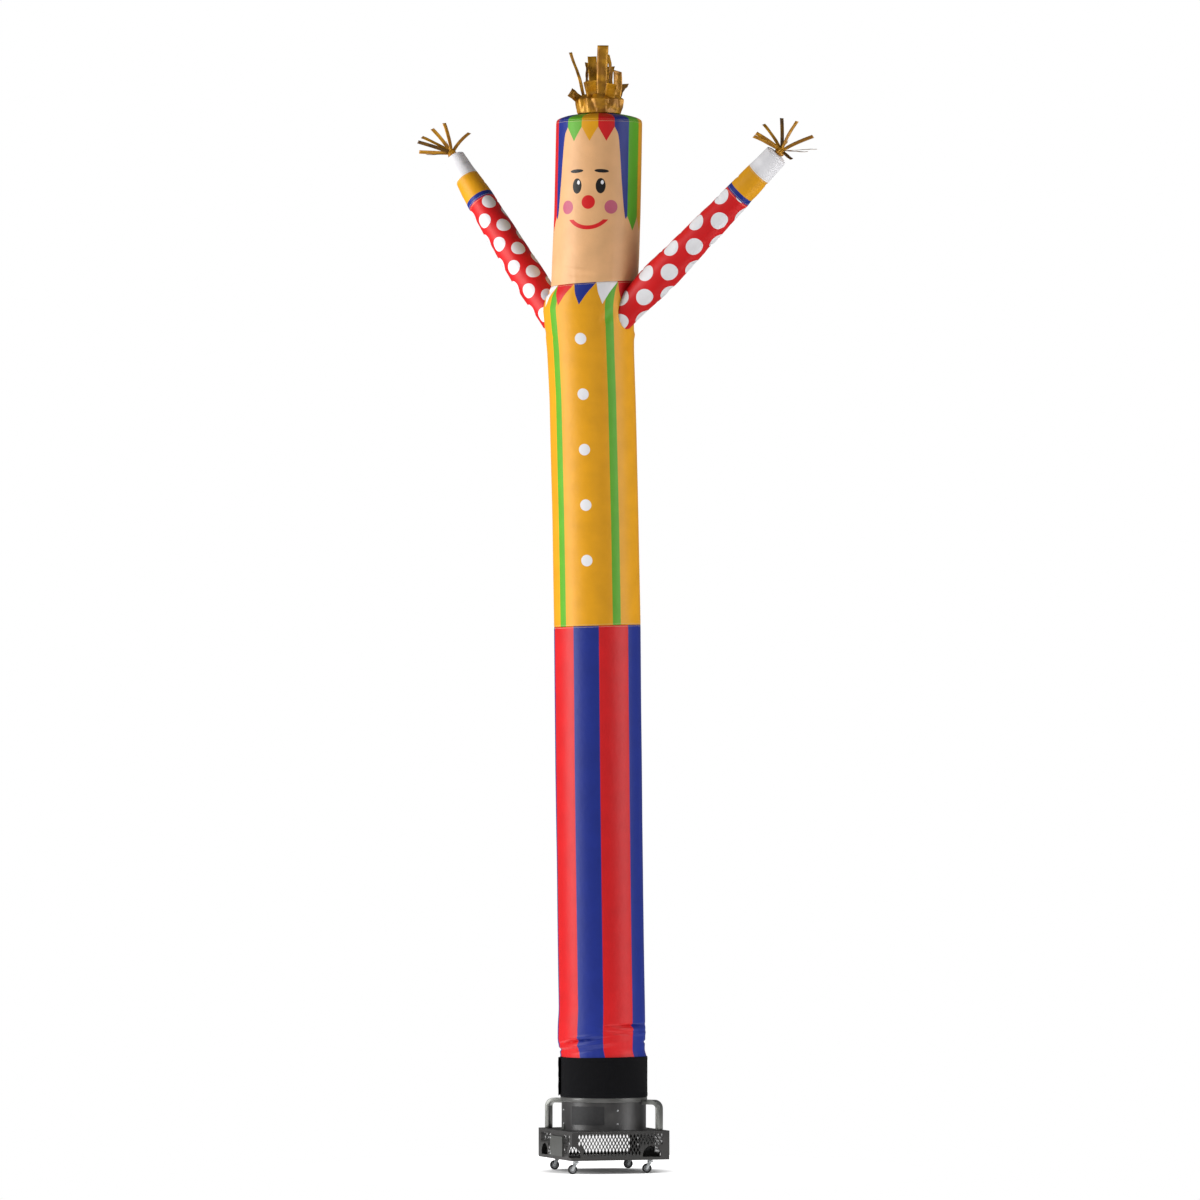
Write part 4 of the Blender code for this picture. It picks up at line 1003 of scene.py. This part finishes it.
def ribbon_frame(ribbon):
    """Root, lean, bend, and the directions over the ribbon's width and out of its flat side."""
    root = ACROSS * ribbon.across + AWAY * ribbon.away
    lean = ACROSS * ribbon.lean_across + AWAY * ribbon.lean_away + UP * ribbon.high
    bend = ACROSS * ribbon.bend_across + AWAY * ribbon.bend_away
    angle = math.radians(ribbon.face)
    wide = (ACROSS * math.cos(angle) + AWAY * math.sin(angle)) * ribbon.wide
    flat = lean.normalized().cross(wide.normalized())
    if flat.length < 0.3:
        flat = lean.normalized().cross(UP)
    flat = flat.normalized()
    return root, lean, bend, flat.cross(lean.normalized()), flat


def ribbon_shape(ribbon, start, seed, crumple):
    """One ribbon with a slight curl over its width, creased and bent along its length."""
    root, lean, bend, wide, flat = ribbon_frame(ribbon)
    rows = 30

    def place(turn, row):
        share = row / rows
        middle = root + lean * share + bend * share * share
        wave = noise.noise(Vector((seed * 3.7, share * 3.0, turn * 0.8)))
        fine = noise.noise(Vector((seed * 5.1, share * 9.0, turn * 2.0)))
        curl = (turn * turn - 0.12) * ribbon.wide * 0.5 * math.sin(seed * 1.7)
        narrow = 1.0 - 0.30 * math.exp(-share / 0.12)
        out = crumple * (wave + 0.30 * fine) + curl
        return start + middle + wide * (turn * ribbon.wide * narrow) + flat * out

    def spot_of(turn, row):
        return turn * ribbon.wide + seed * 0.31, row / rows * lean.length

    return cloth_shape(6, rows, place, spot_of, merge=False)


def gathered_shape(rows, start, up, pleats, depth, seed):
    """The gathered root of a tassel: cloth drawn together in uneven pleats, closed on top."""
    lean_to = UP.rotation_difference(up).to_matrix()
    count = 40

    def place(turn, row):
        share = row / count * (len(rows) - 1)
        low = min(int(share), len(rows) - 2)
        part = share - low
        radius = rows[low][0] + (rows[low + 1][0] - rows[low][0]) * part
        height = rows[low][1] + (rows[low + 1][1] - rows[low][1]) * part
        angle = turn * 2 * math.pi
        side = Vector((math.cos(angle), math.sin(angle), 0.0))
        fold = noise.noise(side * (pleats / 3.0) + UP * (row / count * 1.2 + seed))
        fine = noise.noise(side * pleats + UP * (row / count * 3.0 + seed))
        wall = radius * (1.0 + depth * (fold + 0.35 * fine) * min(1.0, 0.35 + row / count * 1.6))
        flat_spot = turned_about(Vector(), turn * 360.0, wall, height)
        return start + lean_to @ flat_spot

    def spot_of(turn, row):
        return turn * 2 * math.pi * rows[0][0], row / count * 0.2

    return cloth_shape(96, count, place, spot_of)


def joined(shapes):
    """One bmesh of several, each still its own sheet."""
    whole = bmesh.new()
    for shape in shapes:
        mesh = bpy.data.meshes.new("part")
        shape.to_mesh(mesh)
        shape.free()
        whole.from_mesh(mesh)
        bpy.data.meshes.remove(mesh)
    return whole


def tassel(name, ribbons, rows, place, up, start, depth, crumple, material, node):
    shapes = [gathered_shape(rows, place, up, 12.0, depth, len(ribbons) * 0.37)]
    for seed, ribbon in enumerate(ribbons):
        shapes.append(ribbon_shape(ribbon, place + up * start, seed + 1.0, crumple))
    shape = joined(shapes)
    area = sum(face.calc_area() for face in shape.faces)
    obj = piece(name, shape, material, stands_for=[node], sharp=50.0)
    # The inner shell of each ribbon takes the second finish, its back darkened by painted shade.
    thicken(obj, RIBBON_THICK, 0.0).material_offset = 1
    return obj


def spun(profile, steps, closed=True):
    """A ring spun round the blower's upright middle from (radius, height) pairs."""
    shape = bmesh.new()
    points = [shape.verts.new(MIDDLE + Vector((radius, 0.0, z))) for radius, z in profile]
    pairs = zip(points, points[1:] + points[:1]) if closed else zip(points, points[1:])
    edges = [shape.edges.new(pair) for pair in pairs]
    bmesh.ops.spin(
        shape, geom=points + edges, cent=MIDDLE, axis=UP, angle=2 * math.pi, steps=steps,
        use_merge=True,
    )
    bmesh.ops.remove_doubles(shape, verts=shape.verts, dist=1e-6)
    bmesh.ops.recalc_face_normals(shape, faces=shape.faces)
    return shape


def rounded(shape, width, segments=2, least=40.0):
    """Bevels the shape's edges that are sharper than least degrees."""
    shape.normal_update()
    sharp = [
        edge for edge in shape.edges
        if len(edge.link_faces) == 2 and edge.calc_face_angle(0.0) > math.radians(least)
    ]
    bmesh.ops.bevel(
        shape, geom=sharp, offset=width, offset_type="OFFSET", affect="EDGES", segments=segments,
        profile=0.5, material=-1, clamp_overlap=True,
    )
    return shape


def box_shape(low, high):
    """A box between two corners."""
    shape = bmesh.new()
    bmesh.ops.create_cube(shape, size=1.0)
    low, high = Vector(low), Vector(high)
    bmesh.ops.scale(shape, vec=high - low, verts=shape.verts)
    bmesh.ops.translate(shape, vec=(low + high) / 2, verts=shape.verts)
    return shape


def pillar_shape(radius, low, high, sides):
    """An upright round or many-sided pillar."""
    shape = bmesh.new()
    bmesh.ops.create_cone(
        shape, cap_ends=True, segments=sides, radius1=radius, radius2=radius, depth=high - low
    )
    bmesh.ops.translate(shape, vec=(0.0, 0.0, (low + high) / 2), verts=shape.verts)
    return shape


def arc(centre, radius, first, last, steps):
    """Points along an arc, in degrees."""
    points = []
    for step in range(steps + 1):
        angle = math.radians(first + (last - first) * step / steps)
        points.append((centre[0] + radius * math.cos(angle), centre[1] + radius * math.sin(angle)))
    return points


def cut_out_shape(outline, depth, placed):
    """A flat outline of (x, y) pairs, made depth thick and centred; placed sets it in place."""
    shape = bmesh.new()
    face = shape.faces.new([shape.verts.new((x, y, -depth / 2)) for x, y in outline])
    grown = bmesh.ops.extrude_face_region(shape, geom=[face], use_keep_orig=True)
    raised = [part for part in grown["geom"] if isinstance(part, bmesh.types.BMVert)]
    bmesh.ops.translate(shape, vec=(0.0, 0.0, depth), verts=raised)
    bmesh.ops.transform(shape, matrix=placed, verts=shape.verts)
    bmesh.ops.recalc_face_normals(shape, faces=shape.faces)
    return shape


def screw_shape(placed):
    """A low round screw head with a cross recess, facing +Z before it is placed."""
    shape = bmesh.new()
    rings = [(1.0, 0.0), (1.0, 0.0007), (0.86, 0.0019), (0.5, 0.0026)]
    points = [shape.verts.new((SCREW_RADIUS * share, 0.0, z)) for share, z in rings]
    edges = [shape.edges.new(pair) for pair in zip(points, points[1:])]
    bmesh.ops.spin(
        shape, geom=points + edges, axis=UP, angle=2 * math.pi, steps=16, use_merge=True
    )
    bmesh.ops.remove_doubles(shape, verts=shape.verts, dist=1e-7)
    rims = [edge for edge in shape.edges if edge.is_boundary]
    bmesh.ops.holes_fill(shape, edges=rims)
    top = max(shape.faces, key=lambda face: face.calc_center_median().z)
    bmesh.ops.inset_region(shape, faces=[top], thickness=SCREW_RADIUS * 0.2, depth=-0.0010)
    bmesh.ops.transform(shape, matrix=placed, verts=shape.verts)
    bmesh.ops.recalc_face_normals(shape, faces=shape.faces)
    return shape


def facing_out(place, out):
    """A frame at the place whose +Z points out."""
    return Matrix.Translation(place) @ UP.rotation_difference(out).to_matrix().to_4x4()


def duct(coat, ring_coat, screw_metal, plate):
    """The duct's wall and spigot, its ring, screws and plate."""
    foot = BASE_TOP + GAP
    wall = [
        (DUCT_RADIUS - DUCT_WALL, foot),
        (DUCT_RADIUS + 0.0035, foot),
        (DUCT_RADIUS + 0.0035, foot + 0.0015),
        (DUCT_RADIUS + 0.0006, foot + 0.0040),
        (DUCT_RADIUS, foot + 0.0070),
        (DUCT_RADIUS, RIM_TOP),
        (SPIGOT_RADIUS, RIM_TOP + 0.0006),
        (SPIGOT_RADIUS, SPIGOT_TOP - 0.0010),
        (SPIGOT_RADIUS - 0.0010, SPIGOT_TOP),
        (SPIGOT_RADIUS - DUCT_WALL, SPIGOT_TOP),
        (SPIGOT_RADIUS - DUCT_WALL, RIM_TOP + DUCT_WALL),
        (DUCT_RADIUS - DUCT_WALL, RIM_TOP + DUCT_WALL),
    ]
    piece("duct_wall", spun(wall, 144), coat, stands_for=["duct"])
    ring = [(DUCT_RADIUS + GAP, RIM_BOTTOM)]
    ring += arc((RIM_RADIUS - 0.004, RIM_BOTTOM + 0.004), 0.004, -90.0, 0.0, 5)
    ring += arc((RIM_RADIUS - 0.004, RIM_TOP - 0.004), 0.004, 0.0, 90.0, 5)
    ring += [(DUCT_RADIUS + GAP, RIM_TOP)]
    piece("duct_ring", spun(ring, 144), ring_coat, stands_for=["duct_rim"])
    heads = []
    for z in SCREW_HEIGHTS:
        for quarter in range(4):
            angle = math.radians(90.0 * quarter)
            out = Vector((math.cos(angle), math.sin(angle), 0.0))
            heads.append(screw_shape(facing_out(MIDDLE + out * DUCT_RADIUS + UP * z, out)))
    piece("duct_screws", joined(heads), screw_metal)
    bare_plate(plate)


def bare_plate(material):
    """The plate on the duct: a thin sheet with round corners, bent to the wall."""
    outline = []
    middle = (LABEL_FROM + LABEL_TO) / 2
    reach = math.radians(LABEL_TO - LABEL_FROM) / 2 * DUCT_RADIUS - PLATE_CORNER
    rise = (LABEL_TOP - LABEL_BOTTOM) / 2 - PLATE_CORNER
    for corner, (across, up) in enumerate(((1, 1), (-1, 1), (-1, -1), (1, -1))):
        first = 90.0 * corner
        outline += arc((reach * across, rise * up), PLATE_CORNER, first, first + 90.0, 5)
    shape = cut_out_shape(outline, 0.001, Matrix())
    for step in range(1, 24):
        x = (reach + PLATE_CORNER) * (step / 12.0 - 1.0)
        geom = list(shape.verts) + list(shape.edges) + list(shape.faces)
        bmesh.ops.bisect_plane(shape, geom=geom, plane_co=(x, 0, 0), plane_no=(1, 0, 0))
    for vert in shape.verts:
        angle = math.radians(middle) + vert.co.x / DUCT_RADIUS
        radius = DUCT_RADIUS + LABEL_OFF + 0.0005 + vert.co.z
        z = (LABEL_BOTTOM + LABEL_TOP) / 2 + vert.co.y
        vert.co = MIDDLE + Vector((math.sin(angle) * radius, -math.cos(angle) * radius, z))
    bmesh.ops.recalc_face_normals(shape, faces=shape.faces)
    piece("bare_plate", shape, material, stands_for=["label_plate"])


def handles(metal):
    """The two bent bars beside the duct."""
    foot = BASE_TOP + GAP
    inner = HANDLE_OUT - HANDLE_THICK
    bend = HANDLE_BEND - HANDLE_THICK
    start = RIM_RADIUS + 0.0005
    outline = [(HANDLE_OUT, foot)]
    outline += arc((HANDLE_OUT - HANDLE_BEND, HANDLE_TOP - HANDLE_BEND), HANDLE_BEND, 0.0, 90.0, 16)
    outline += [(start, HANDLE_TOP), (start, HANDLE_TOP - HANDLE_THICK)]
    outline += arc((inner - bend, HANDLE_TOP - HANDLE_THICK - bend), bend, 90.0, 0.0, 12)
    outline += [(inner, foot)]
    for name, degrees in (("handle_right", -45.0), ("handle_left", 135.0)):
        placed = (
            Matrix.Translation(MIDDLE) @ Matrix.Rotation(math.radians(degrees), 4, "Z")
            @ Matrix.Rotation(math.pi / 2, 4, "X")
        )
        shape = rounded(cut_out_shape(outline, HANDLE_WIDE, placed), 0.004, 3, 60.0)
        piece(f"{name}_bar", shape, metal, stands_for=[name])


def covered(x, z, row):
    """True where a hole would meet an arch, or lie behind a cover plate."""
    for middle in row.arches:
        if abs(x - middle) < ARCH_WIDE / 2 + 0.014 and z < ARCH_TOP + 0.014:
            return True
    return row.cover_to > row.cover_from and row.cover_from - 0.012 < x < row.cover_to + 0.012


def panel_shape(row, reach, low, high):
    """A sheet punched with diamonds: a slanting net of bars, trimmed to the panel's outline."""
    shape = bmesh.new()
    cells = 44
    bmesh.ops.create_grid(shape, x_segments=cells, y_segments=cells, size=0.5)
    bmesh.ops.rotate(shape, matrix=Matrix.Rotation(math.pi / 4, 3, "Z"), verts=shape.verts)
    corner = math.sqrt(0.5) / cells
    middle = (GRILLE_LOW + GRILLE_HIGH) / 2
    bmesh.ops.scale(
        shape, vec=(HOLE_PITCH / 2 / corner, HOLE_RISE / 2 / corner, 1.0), verts=shape.verts
    )
    bmesh.ops.translate(shape, vec=(row.shift_along, middle + row.shift_up, 0.0), verts=shape.verts)
    limits = [((-reach, 0, 0), (-1, 0, 0)), ((reach, 0, 0), (1, 0, 0)),
              ((0, low, 0), (0, -1, 0)), ((0, high, 0), (0, 1, 0))]
    for spot, out in limits:
        geom = list(shape.verts) + list(shape.edges) + list(shape.faces)
        bmesh.ops.bisect_plane(shape, geom=geom, plane_co=spot, plane_no=out, clear_outer=True)
    bmesh.ops.recalc_face_normals(shape, faces=shape.faces)
    edge = BASE_SIDE / 2 - GRILLE_EDGE
    holes = []
    for face in shape.faces:
        spot = face.calc_center_median()
        tall = max(vert.co.y for vert in face.verts) - min(vert.co.y for vert in face.verts)
        whole = len(face.verts) == 4 and tall > HOLE_RISE * 0.98
        inside = abs(spot.x) < edge and GRILLE_LOW < spot.y < GRILLE_HIGH
        if whole and inside and not covered(spot.x, spot.y, row):
            holes.append(face)
    bmesh.ops.inset_individual(shape, faces=holes, thickness=BAR / 2, depth=0.0)
    bmesh.ops.delete(shape, geom=holes, context="FACES")
    return shape


def arch_shape(middle):
    """The cutter of one arch in a panel."""
    half = ARCH_WIDE / 2
    outline = arc((middle, ARCH_TOP - half), half, 0.0, 180.0, 24)
    outline += [(middle - half, ARCH_LOW), (middle + half, ARCH_LOW)]
    return cut_out_shape(outline, 0.04, Matrix())


def base(coat, cover_coat, screw_metal):
    """The panels and the cover plates' screws; the top and the floor keep the model's shapes."""
    half = BASE_SIDE / 2
    low, high = BASE_BOTTOM + FLOOR_PLATE + GAP, BASE_TOP - PANEL - GAP
    heads = []
    for row in PANELS:
        reach = half if row.full else half - PANEL - GAP
        placed = (
            Matrix.Translation(MIDDLE) @ Matrix.Rotation(math.radians(row.turn), 4, "Z")
            @ Matrix.Translation((0.0, -half, 0.0)) @ Matrix.Rotation(math.pi / 2, 4, "X")
        )
        sheet = piece(
            f"{row.name}_sheet", panel_shape(row, reach, low, high), coat,
            stands_for=[row.name],
        )
        cutters = []
        for middle in row.arches:
            cutter = bpy.data.objects.new(f"{row.name}_arch", bpy.data.meshes.new("arch"))
            shape = arch_shape(middle)
            shape.to_mesh(cutter.data)
            shape.free()
            bpy.context.scene.collection.objects.link(cutter)
            cutters.append(cutter)
        thicken(sheet, PANEL)
        for cutter in cutters:
            step = sheet.modifiers.new("arch", "BOOLEAN")
            step.operation = "DIFFERENCE"
            step.object = cutter
        settle(sheet)
        sheet.data.transform(placed)
        for cutter in cutters:
            bpy.data.objects.remove(cutter)
        if row.cover_to > row.cover_from:
            for z in COVER_SCREWS:
                spot = placed @ Vector((row.cover_from + COVER_SCREWS_IN, z, 0.0))
                out = (placed.to_3x3() @ Vector((0.0, 0.0, 1.0))).normalized()
                heads.append(screw_shape(facing_out(spot + out * (COVER_THICK + GAP), out)))
    piece("cover_screws", joined(heads), screw_metal)
    for name in ("base_top", "base_floor"):
        dress(name, coat)
    for name in ("side_cover_left", "side_cover_right"):
        dress(name, cover_coat)


def settle(obj):
    """The object's modifiers applied to its mesh."""
    bpy.context.view_layer.update()
    graph = bpy.context.evaluated_depsgraph_get()
    mesh = bpy.data.meshes.new_from_object(obj.evaluated_get(graph))
    obj.modifiers.clear()
    obj.data = mesh
    mesh.shade_flat()


def dress(name, material):
    """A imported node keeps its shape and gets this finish."""
    node = frame["nodes"][name]
    node.data.materials.clear()
    node.data.materials.append(material)


def cuff(material):
    """The band: a hem at each edge, slight dents, and the loose end of its closure."""
    tall = CUFF_TOP - CUFF_BOTTOM
    heights = [CUFF_BOTTOM + tall * step / CUFF_ROWS for step in range(CUFF_ROWS + 1)]

    def place(turn, row):
        degrees = turn * 360.0
        angle = math.radians(degrees)
        side = Vector((math.cos(angle), math.sin(angle), 0.0))
        z = heights[row]
        edge = min(z - CUFF_BOTTOM, CUFF_TOP - z)
        hem = 0.0009 * swell(edge - 0.012, 0.012) - 0.0006 * swell(edge - 0.026, 0.004)
        dent = 0.0011 * noise.noise(side * 3.0 + UP * z * 9.0)
        wall = CUFF_RADIUS + hem + dent
        tilt = 0.0022 * math.sin(2 * angle) * (z - CUFF_BOTTOM) / 0.2
        return turned_about(MIDDLE, degrees, wall, z + tilt)

    def spot_of(turn, row):
        return turn * 360.0 * ARC, heights[row]

    shape = cloth_shape(TUBE_COLUMNS, CUFF_ROWS, place, spot_of)
    band = piece("cuff_band", shape, material, stands_for=["blower_cuff"], sharp=60.0)
    thicken(band, 0.0022)
    flap_low, flap_tall = CUFF_BOTTOM + FLAP_SHORTER, tall - 2 * FLAP_SHORTER
    flap_heights = [flap_low + flap_tall * step / FLAP_ROWS for step in range(FLAP_ROWS + 1)]

    def flap_place(turn, row):
        share = turn + 0.5
        z = flap_heights[row]
        lift = FLAP_LIFT * max(0.0, share - 0.45) / 0.55
        wave = 0.0022 * share * noise.noise(Vector((share * 3.0, z * 26.0, 0.0)))
        degrees = FLAP_FROM + (FLAP_TO - FLAP_FROM) * share
        return turned_about(MIDDLE, degrees, CUFF_RADIUS + FLAP_OFF + lift + wave, z)

    def flap_spot(turn, row):
        return turn * 0.205, flap_heights[row]

    shape = cloth_shape(FLAP_ROWS, FLAP_ROWS, flap_place, flap_spot, merge=False)
    flap = piece("cuff_flap_cloth", shape, material, stands_for=["cuff_flap"], sharp=60.0)
    thicken(flap, 0.0018)


def wheel_shape():
    """Tyre and hub, turned round Y: rounded shoulders, a step at the hub and a dished middle."""
    half = WHEEL_WIDE / 2
    side = [(radius, half - inward) for radius, inward in WHEEL_SIDE]
    tyre = arc((WHEEL_RADIUS - TYRE_ROUND, half - TYRE_ROUND), TYRE_ROUND, 90.0, 0.0, 6)
    outline = side + tyre
    outline = outline + [(radius, -z) for radius, z in reversed(outline)]
    shape = bmesh.new()
    points = [shape.verts.new((radius, 0.0, z)) for radius, z in outline]
    edges = [shape.edges.new(pair) for pair in zip(points, points[1:] + points[:1])]
    bmesh.ops.spin(shape, geom=points + edges, axis=UP, angle=2 * math.pi, steps=56, use_merge=True)
    bmesh.ops.remove_doubles(shape, verts=shape.verts, dist=1e-7)
    bmesh.ops.recalc_face_normals(shape, faces=shape.faces)
    for face in shape.faces:
        spot = face.calc_center_median()
        face.material_index = int(math.hypot(spot.x, spot.y) < HUB_RADIUS)
    bmesh.ops.rotate(shape, matrix=Matrix.Rotation(math.pi / 2, 3, "X"), verts=shape.verts)
    return shape


def fork_shape():
    """The fork: a pressed crown, two legs with rounded edges, and the axle's bolt and nut."""
    outer = WHEEL_WIDE / 2 + 0.0035
    leg = [(0.011, CROWN_LOW + 0.006), (-TRAIL + 0.006, WHEEL_RADIUS - 0.004)]
    leg += arc((-TRAIL, WHEEL_RADIUS), 0.0072, -40.0, -175.0, 8)
    leg += [(-0.012, CROWN_LOW + 0.006)]
    shapes = [rounded(pillar_shape(CROWN_RADIUS, CROWN_LOW, CROWN_HIGH, 40), 0.0016, 3)]
    bridge = box_shape((-0.013, -outer, CROWN_LOW), (0.011, outer, CROWN_LOW + 0.0065))
    shapes.append(rounded(bridge, 0.0010, 2))
    for side in (-1, 1):
        placed = Matrix.Translation((0.0, side * (outer - 0.001), 0.0))
        placed = placed @ Matrix.Rotation(math.pi / 2, 4, "X")
        shapes.append(rounded(cut_out_shape(leg, 0.002, placed), 0.0005, 2, 60.0))
        head = rounded(pillar_shape(0.0045, 0.0, 0.0028, 6 if side > 0 else 20), 0.0005, 2)
        turn = Matrix.Translation((-TRAIL, side * outer, WHEEL_RADIUS))
        turn = turn @ Matrix.Rotation(-side * math.pi / 2, 4, "X")
        bmesh.ops.transform(head, matrix=turn, verts=head.verts)
        shapes.append(head)
    axle = pillar_shape(0.0030, -outer, outer, 20)
    bmesh.ops.rotate(axle, matrix=Matrix.Rotation(math.pi / 2, 3, "X"), verts=axle.verts)
    bmesh.ops.translate(axle, vec=(-TRAIL, 0.0, WHEEL_RADIUS), verts=axle.verts)
    shapes.append(axle)
    return joined(shapes)


def casters(zinc, rubber, hub):
    """Each caster's fork and wheel on its own bodies."""
    for row in CASTERS:
        stem = MIDDLE + Vector((row.x, row.y, 0.0))
        swivel = Matrix.Translation(stem) @ Matrix.Rotation(-TURN, 4, "Z")
        shape = fork_shape()
        bmesh.ops.transform(shape, matrix=swivel, verts=shape.verts)
        piece(f"fork_{row.name}", shape, zinc, f"swivel_{row.name}",
              [f"caster_fork_{row.name}"])
        shape = wheel_shape()
        place = swivel @ Matrix.Translation((-TRAIL, 0.0, WHEEL_RADIUS))
        bmesh.ops.transform(shape, matrix=place, verts=shape.verts)
        piece(f"wheel_{row.name}", shape, [rubber, hub], f"wheel_{row.name}",
              [f"caster_wheel_{row.name}"])
        dress(f"caster_stem_{row.name}", zinc)


def dancer():
    """All the cloth, from the legs to the ribbons."""
    # The second finish is the ribbons' back: the same gold darkened by painted shade.
    ribbon = [satin_ribbon("gold satin ribbon", "#94620e", "#cd921c"),
              satin_ribbon("gold satin ribbon, dull back", "#4e3410", "#7d5616")]
    head = nylon("printed nylon, head", head_print, [NECK, SHOULDER])
    legs = nylon("striped nylon", leg_print, [WAIST])
    shirt = nylon("printed nylon, shirt", shirt_print, [WAIST, NECK])
    tube("leg_tube_cloth", LEG_BOTTOM, WAIST - GAP / 2, legs)
    tube("shirt_tube_cloth", WAIST + GAP / 2, NECK - GAP / 2, shirt, in_no_sleeve)
    tube("head_tube_cloth", NECK + GAP / 2, SHOULDER - GAP / 2, head)
    head_cap(head)
    for arm in ARMS:
        sleeve(arm)
    lean = ring_at(SHOULDER)[0]
    crown = MIDDLE + ACROSS * lean + UP * (SHOULDER + GAP + DOME + GAP - HAIR_UNDER)
    tassel("hair_ribbons", HAIR, HAIR_PAD, crown, UP, HAIR_START, 0.16, 0.010, ribbon, "hair_tassel")
    for arm, ribbons in zip(ARMS, (HAND_RIGHT, HAND_LEFT)):
        root, along, length = AXES[arm.name][:3]
        side = arm.name[4:]
        end = root + along * (length + GAP)
        tassel(f"hand_ribbons_{side}", ribbons, HAND_PAD, end, along, HAND_START, 0.20, 0.003,
               ribbon, f"hand_tassel_{side}")


def blower():
    """The blower's finishes and pieces."""
    coat = powder_coat("charcoal powder coat on steel", "#252423", "#312f2d")
    duct_coat = powder_coat("grey powder coat on steel", "#333232", "#3e3d3c", 0.36)
    ring_coat = powder_coat("light grey powder coat on steel", "#4c4c4a", "#585856", 0.34)
    cover_coat = powder_coat("grey powder coat on the covers", "#40413e", "#4a4b48")
    plate = moulded("blank dark polyester plate", "#070608", 0.62, 900.0)
    bar = bare_metal("satin aluminium bar", "#80817d", (60.0, 60.0, 900.0), 0.36)
    zinc = bare_metal("zinc plated steel", "#b4b7b8", (300.0, 300.0, 300.0), 0.30)
    rubber = moulded("black wheel rubber", "#161616", 0.72, 700.0)
    hub = moulded("grey moulded nylon", "#77787a", 0.50, 500.0)
    duct(duct_coat, ring_coat, zinc, plate)
    handles(bar)
    base(coat, cover_coat, zinc)
    for name in ("duct_foot_left", "duct_foot_right"):
        dress(name, bar)
    casters(zinc, rubber, hub)
    cuff(webbing("black nylon webbing"))


def look_at(obj, target):
    obj.rotation_euler = (target - obj.location).to_track_quat("-Z", "Y").to_euler()


# Lights: turn round the blower, distance, height, size and power; all look at the middle height
Light = namedtuple("Light", "name turn distance height wide tall watts tint")
LIGHTS = [
    Light("softbox_left", -72.0, 4.8, 3.6, 2.6, 7.0, 420.0, "#ffffff"),
    Light("softbox_right", 68.0, 4.8, 3.6, 2.4, 7.0, 235.0, "#ffffff"),
    Light("front_fill", 4.0, 12.0, 5.0, 3.0, 5.0, 90.0, "#ffffff"),
]


# The room's even light, and the floor, which glows white but for a painted shadow under the blower,
# where its glow fades to nothing
ROOM_LIGHT = 0.16
FLOOR_RADIUS = 1.7
GLOW_FROM = 0.27
GLOW_TO = 0.42
GLOW_NEAR = 0.0
GLOW_FAR = 0.90


def studio():
    """A pale glowing floor with a painted shadow where its glow fades under the blower, and soft boxes
    left and right, which leave the tube's middle darker.
    """
    for row in LIGHTS:
        lamp = bpy.data.lights.new(row.name, "AREA")
        lamp.shape = "RECTANGLE"
        lamp.size = row.wide
        lamp.size_y = row.tall
        lamp.energy = row.watts
        lamp.color = linear(row.tint)[:3]
        obj = bpy.data.objects.new(row.name, lamp)
        bpy.context.scene.collection.objects.link(obj)
        obj.location = turned_about(MIDDLE, row.turn, row.distance, row.height)
        look_at(obj, MIDDLE + UP * 2.9)
    world = bpy.data.worlds.new("studio")
    bpy.context.scene.world = world
    world.use_nodes = True
    tree = world.node_tree
    tree.nodes.clear()
    seen = add(tree, "Background", linear("#ffffff"), 1.0)
    room = add(tree, "Background", linear("#ffffff"), ROOM_LIGHT)
    path = add(tree, "LightPath")
    both = add(tree, "MixShader", path.outputs["Is Camera Ray"], room, seen)
    tree.links.new(both.outputs[0], add(tree, "OutputWorld").inputs["Surface"])
    shape = bmesh.new()
    bmesh.ops.create_circle(shape, cap_ends=True, segments=96, radius=FLOOR_RADIUS)
    bmesh.ops.translate(shape, vec=MIDDLE, verts=shape.verts)
    mesh = bpy.data.meshes.new("floor")
    shape.to_mesh(mesh)
    shape.free()
    floor = bpy.data.objects.new("floor", mesh)
    bpy.context.scene.collection.objects.link(floor)
    material, tree, shader = blank("white painted floor")
    place = add(tree, "TexCoord").outputs["Object"]
    speck = add(tree, "TexNoise", place, sockets={"Scale": 3.0})
    tone = add(tree, "MapRange", speck, 0.3, 0.7, 0.0, 1.0)
    tree.links.new(laid(tree, linear("#f6f6f6"), linear("#ffffff"), tone), shader.inputs["Base Color"])
    shader.inputs["Roughness"].default_value = 0.9
    shader.inputs["Emission Color"].default_value = linear("#ffffff")
    # Painted shadow: the glow fades out towards the blower's middle and leaves the floor dark under
    # it.
    from_middle = add(tree, "VectorMath", place, tuple(MIDDLE), operation="SUBTRACT")
    length = add(tree, "VectorMath", from_middle, operation="LENGTH").outputs["Value"]
    glow = add(tree, "MapRange", length, GLOW_FROM, GLOW_TO, GLOW_NEAR, GLOW_FAR)
    tree.links.new(glow.outputs[0], shader.inputs["Emission Strength"])
    mesh.materials.append(material)


def camera():
    """The photograph's view, level and from far off."""
    lens = bpy.data.cameras.new("camera")
    lens.sensor_width = 36.0
    lens.lens = 36.0 * EYE_AWAY / PIXEL / PICTURE
    lens.clip_end = 200.0
    obj = bpy.data.objects.new("camera", lens)
    bpy.context.scene.collection.objects.link(obj)
    obj.location = MIDDLE - AWAY * EYE_AWAY + UP * EYE_UP + ACROSS * EYE_ASIDE
    ahead = AWAY + UP * math.tan(math.radians(EYE_TILT))
    obj.rotation_euler = ahead.to_track_quat("-Z", "Y").to_euler()
    bpy.context.scene.camera = obj
    bpy.context.scene.view_settings.view_transform = "Standard"


clear_scene_of_helpers()
camera()
studio()
blower()
dancer()
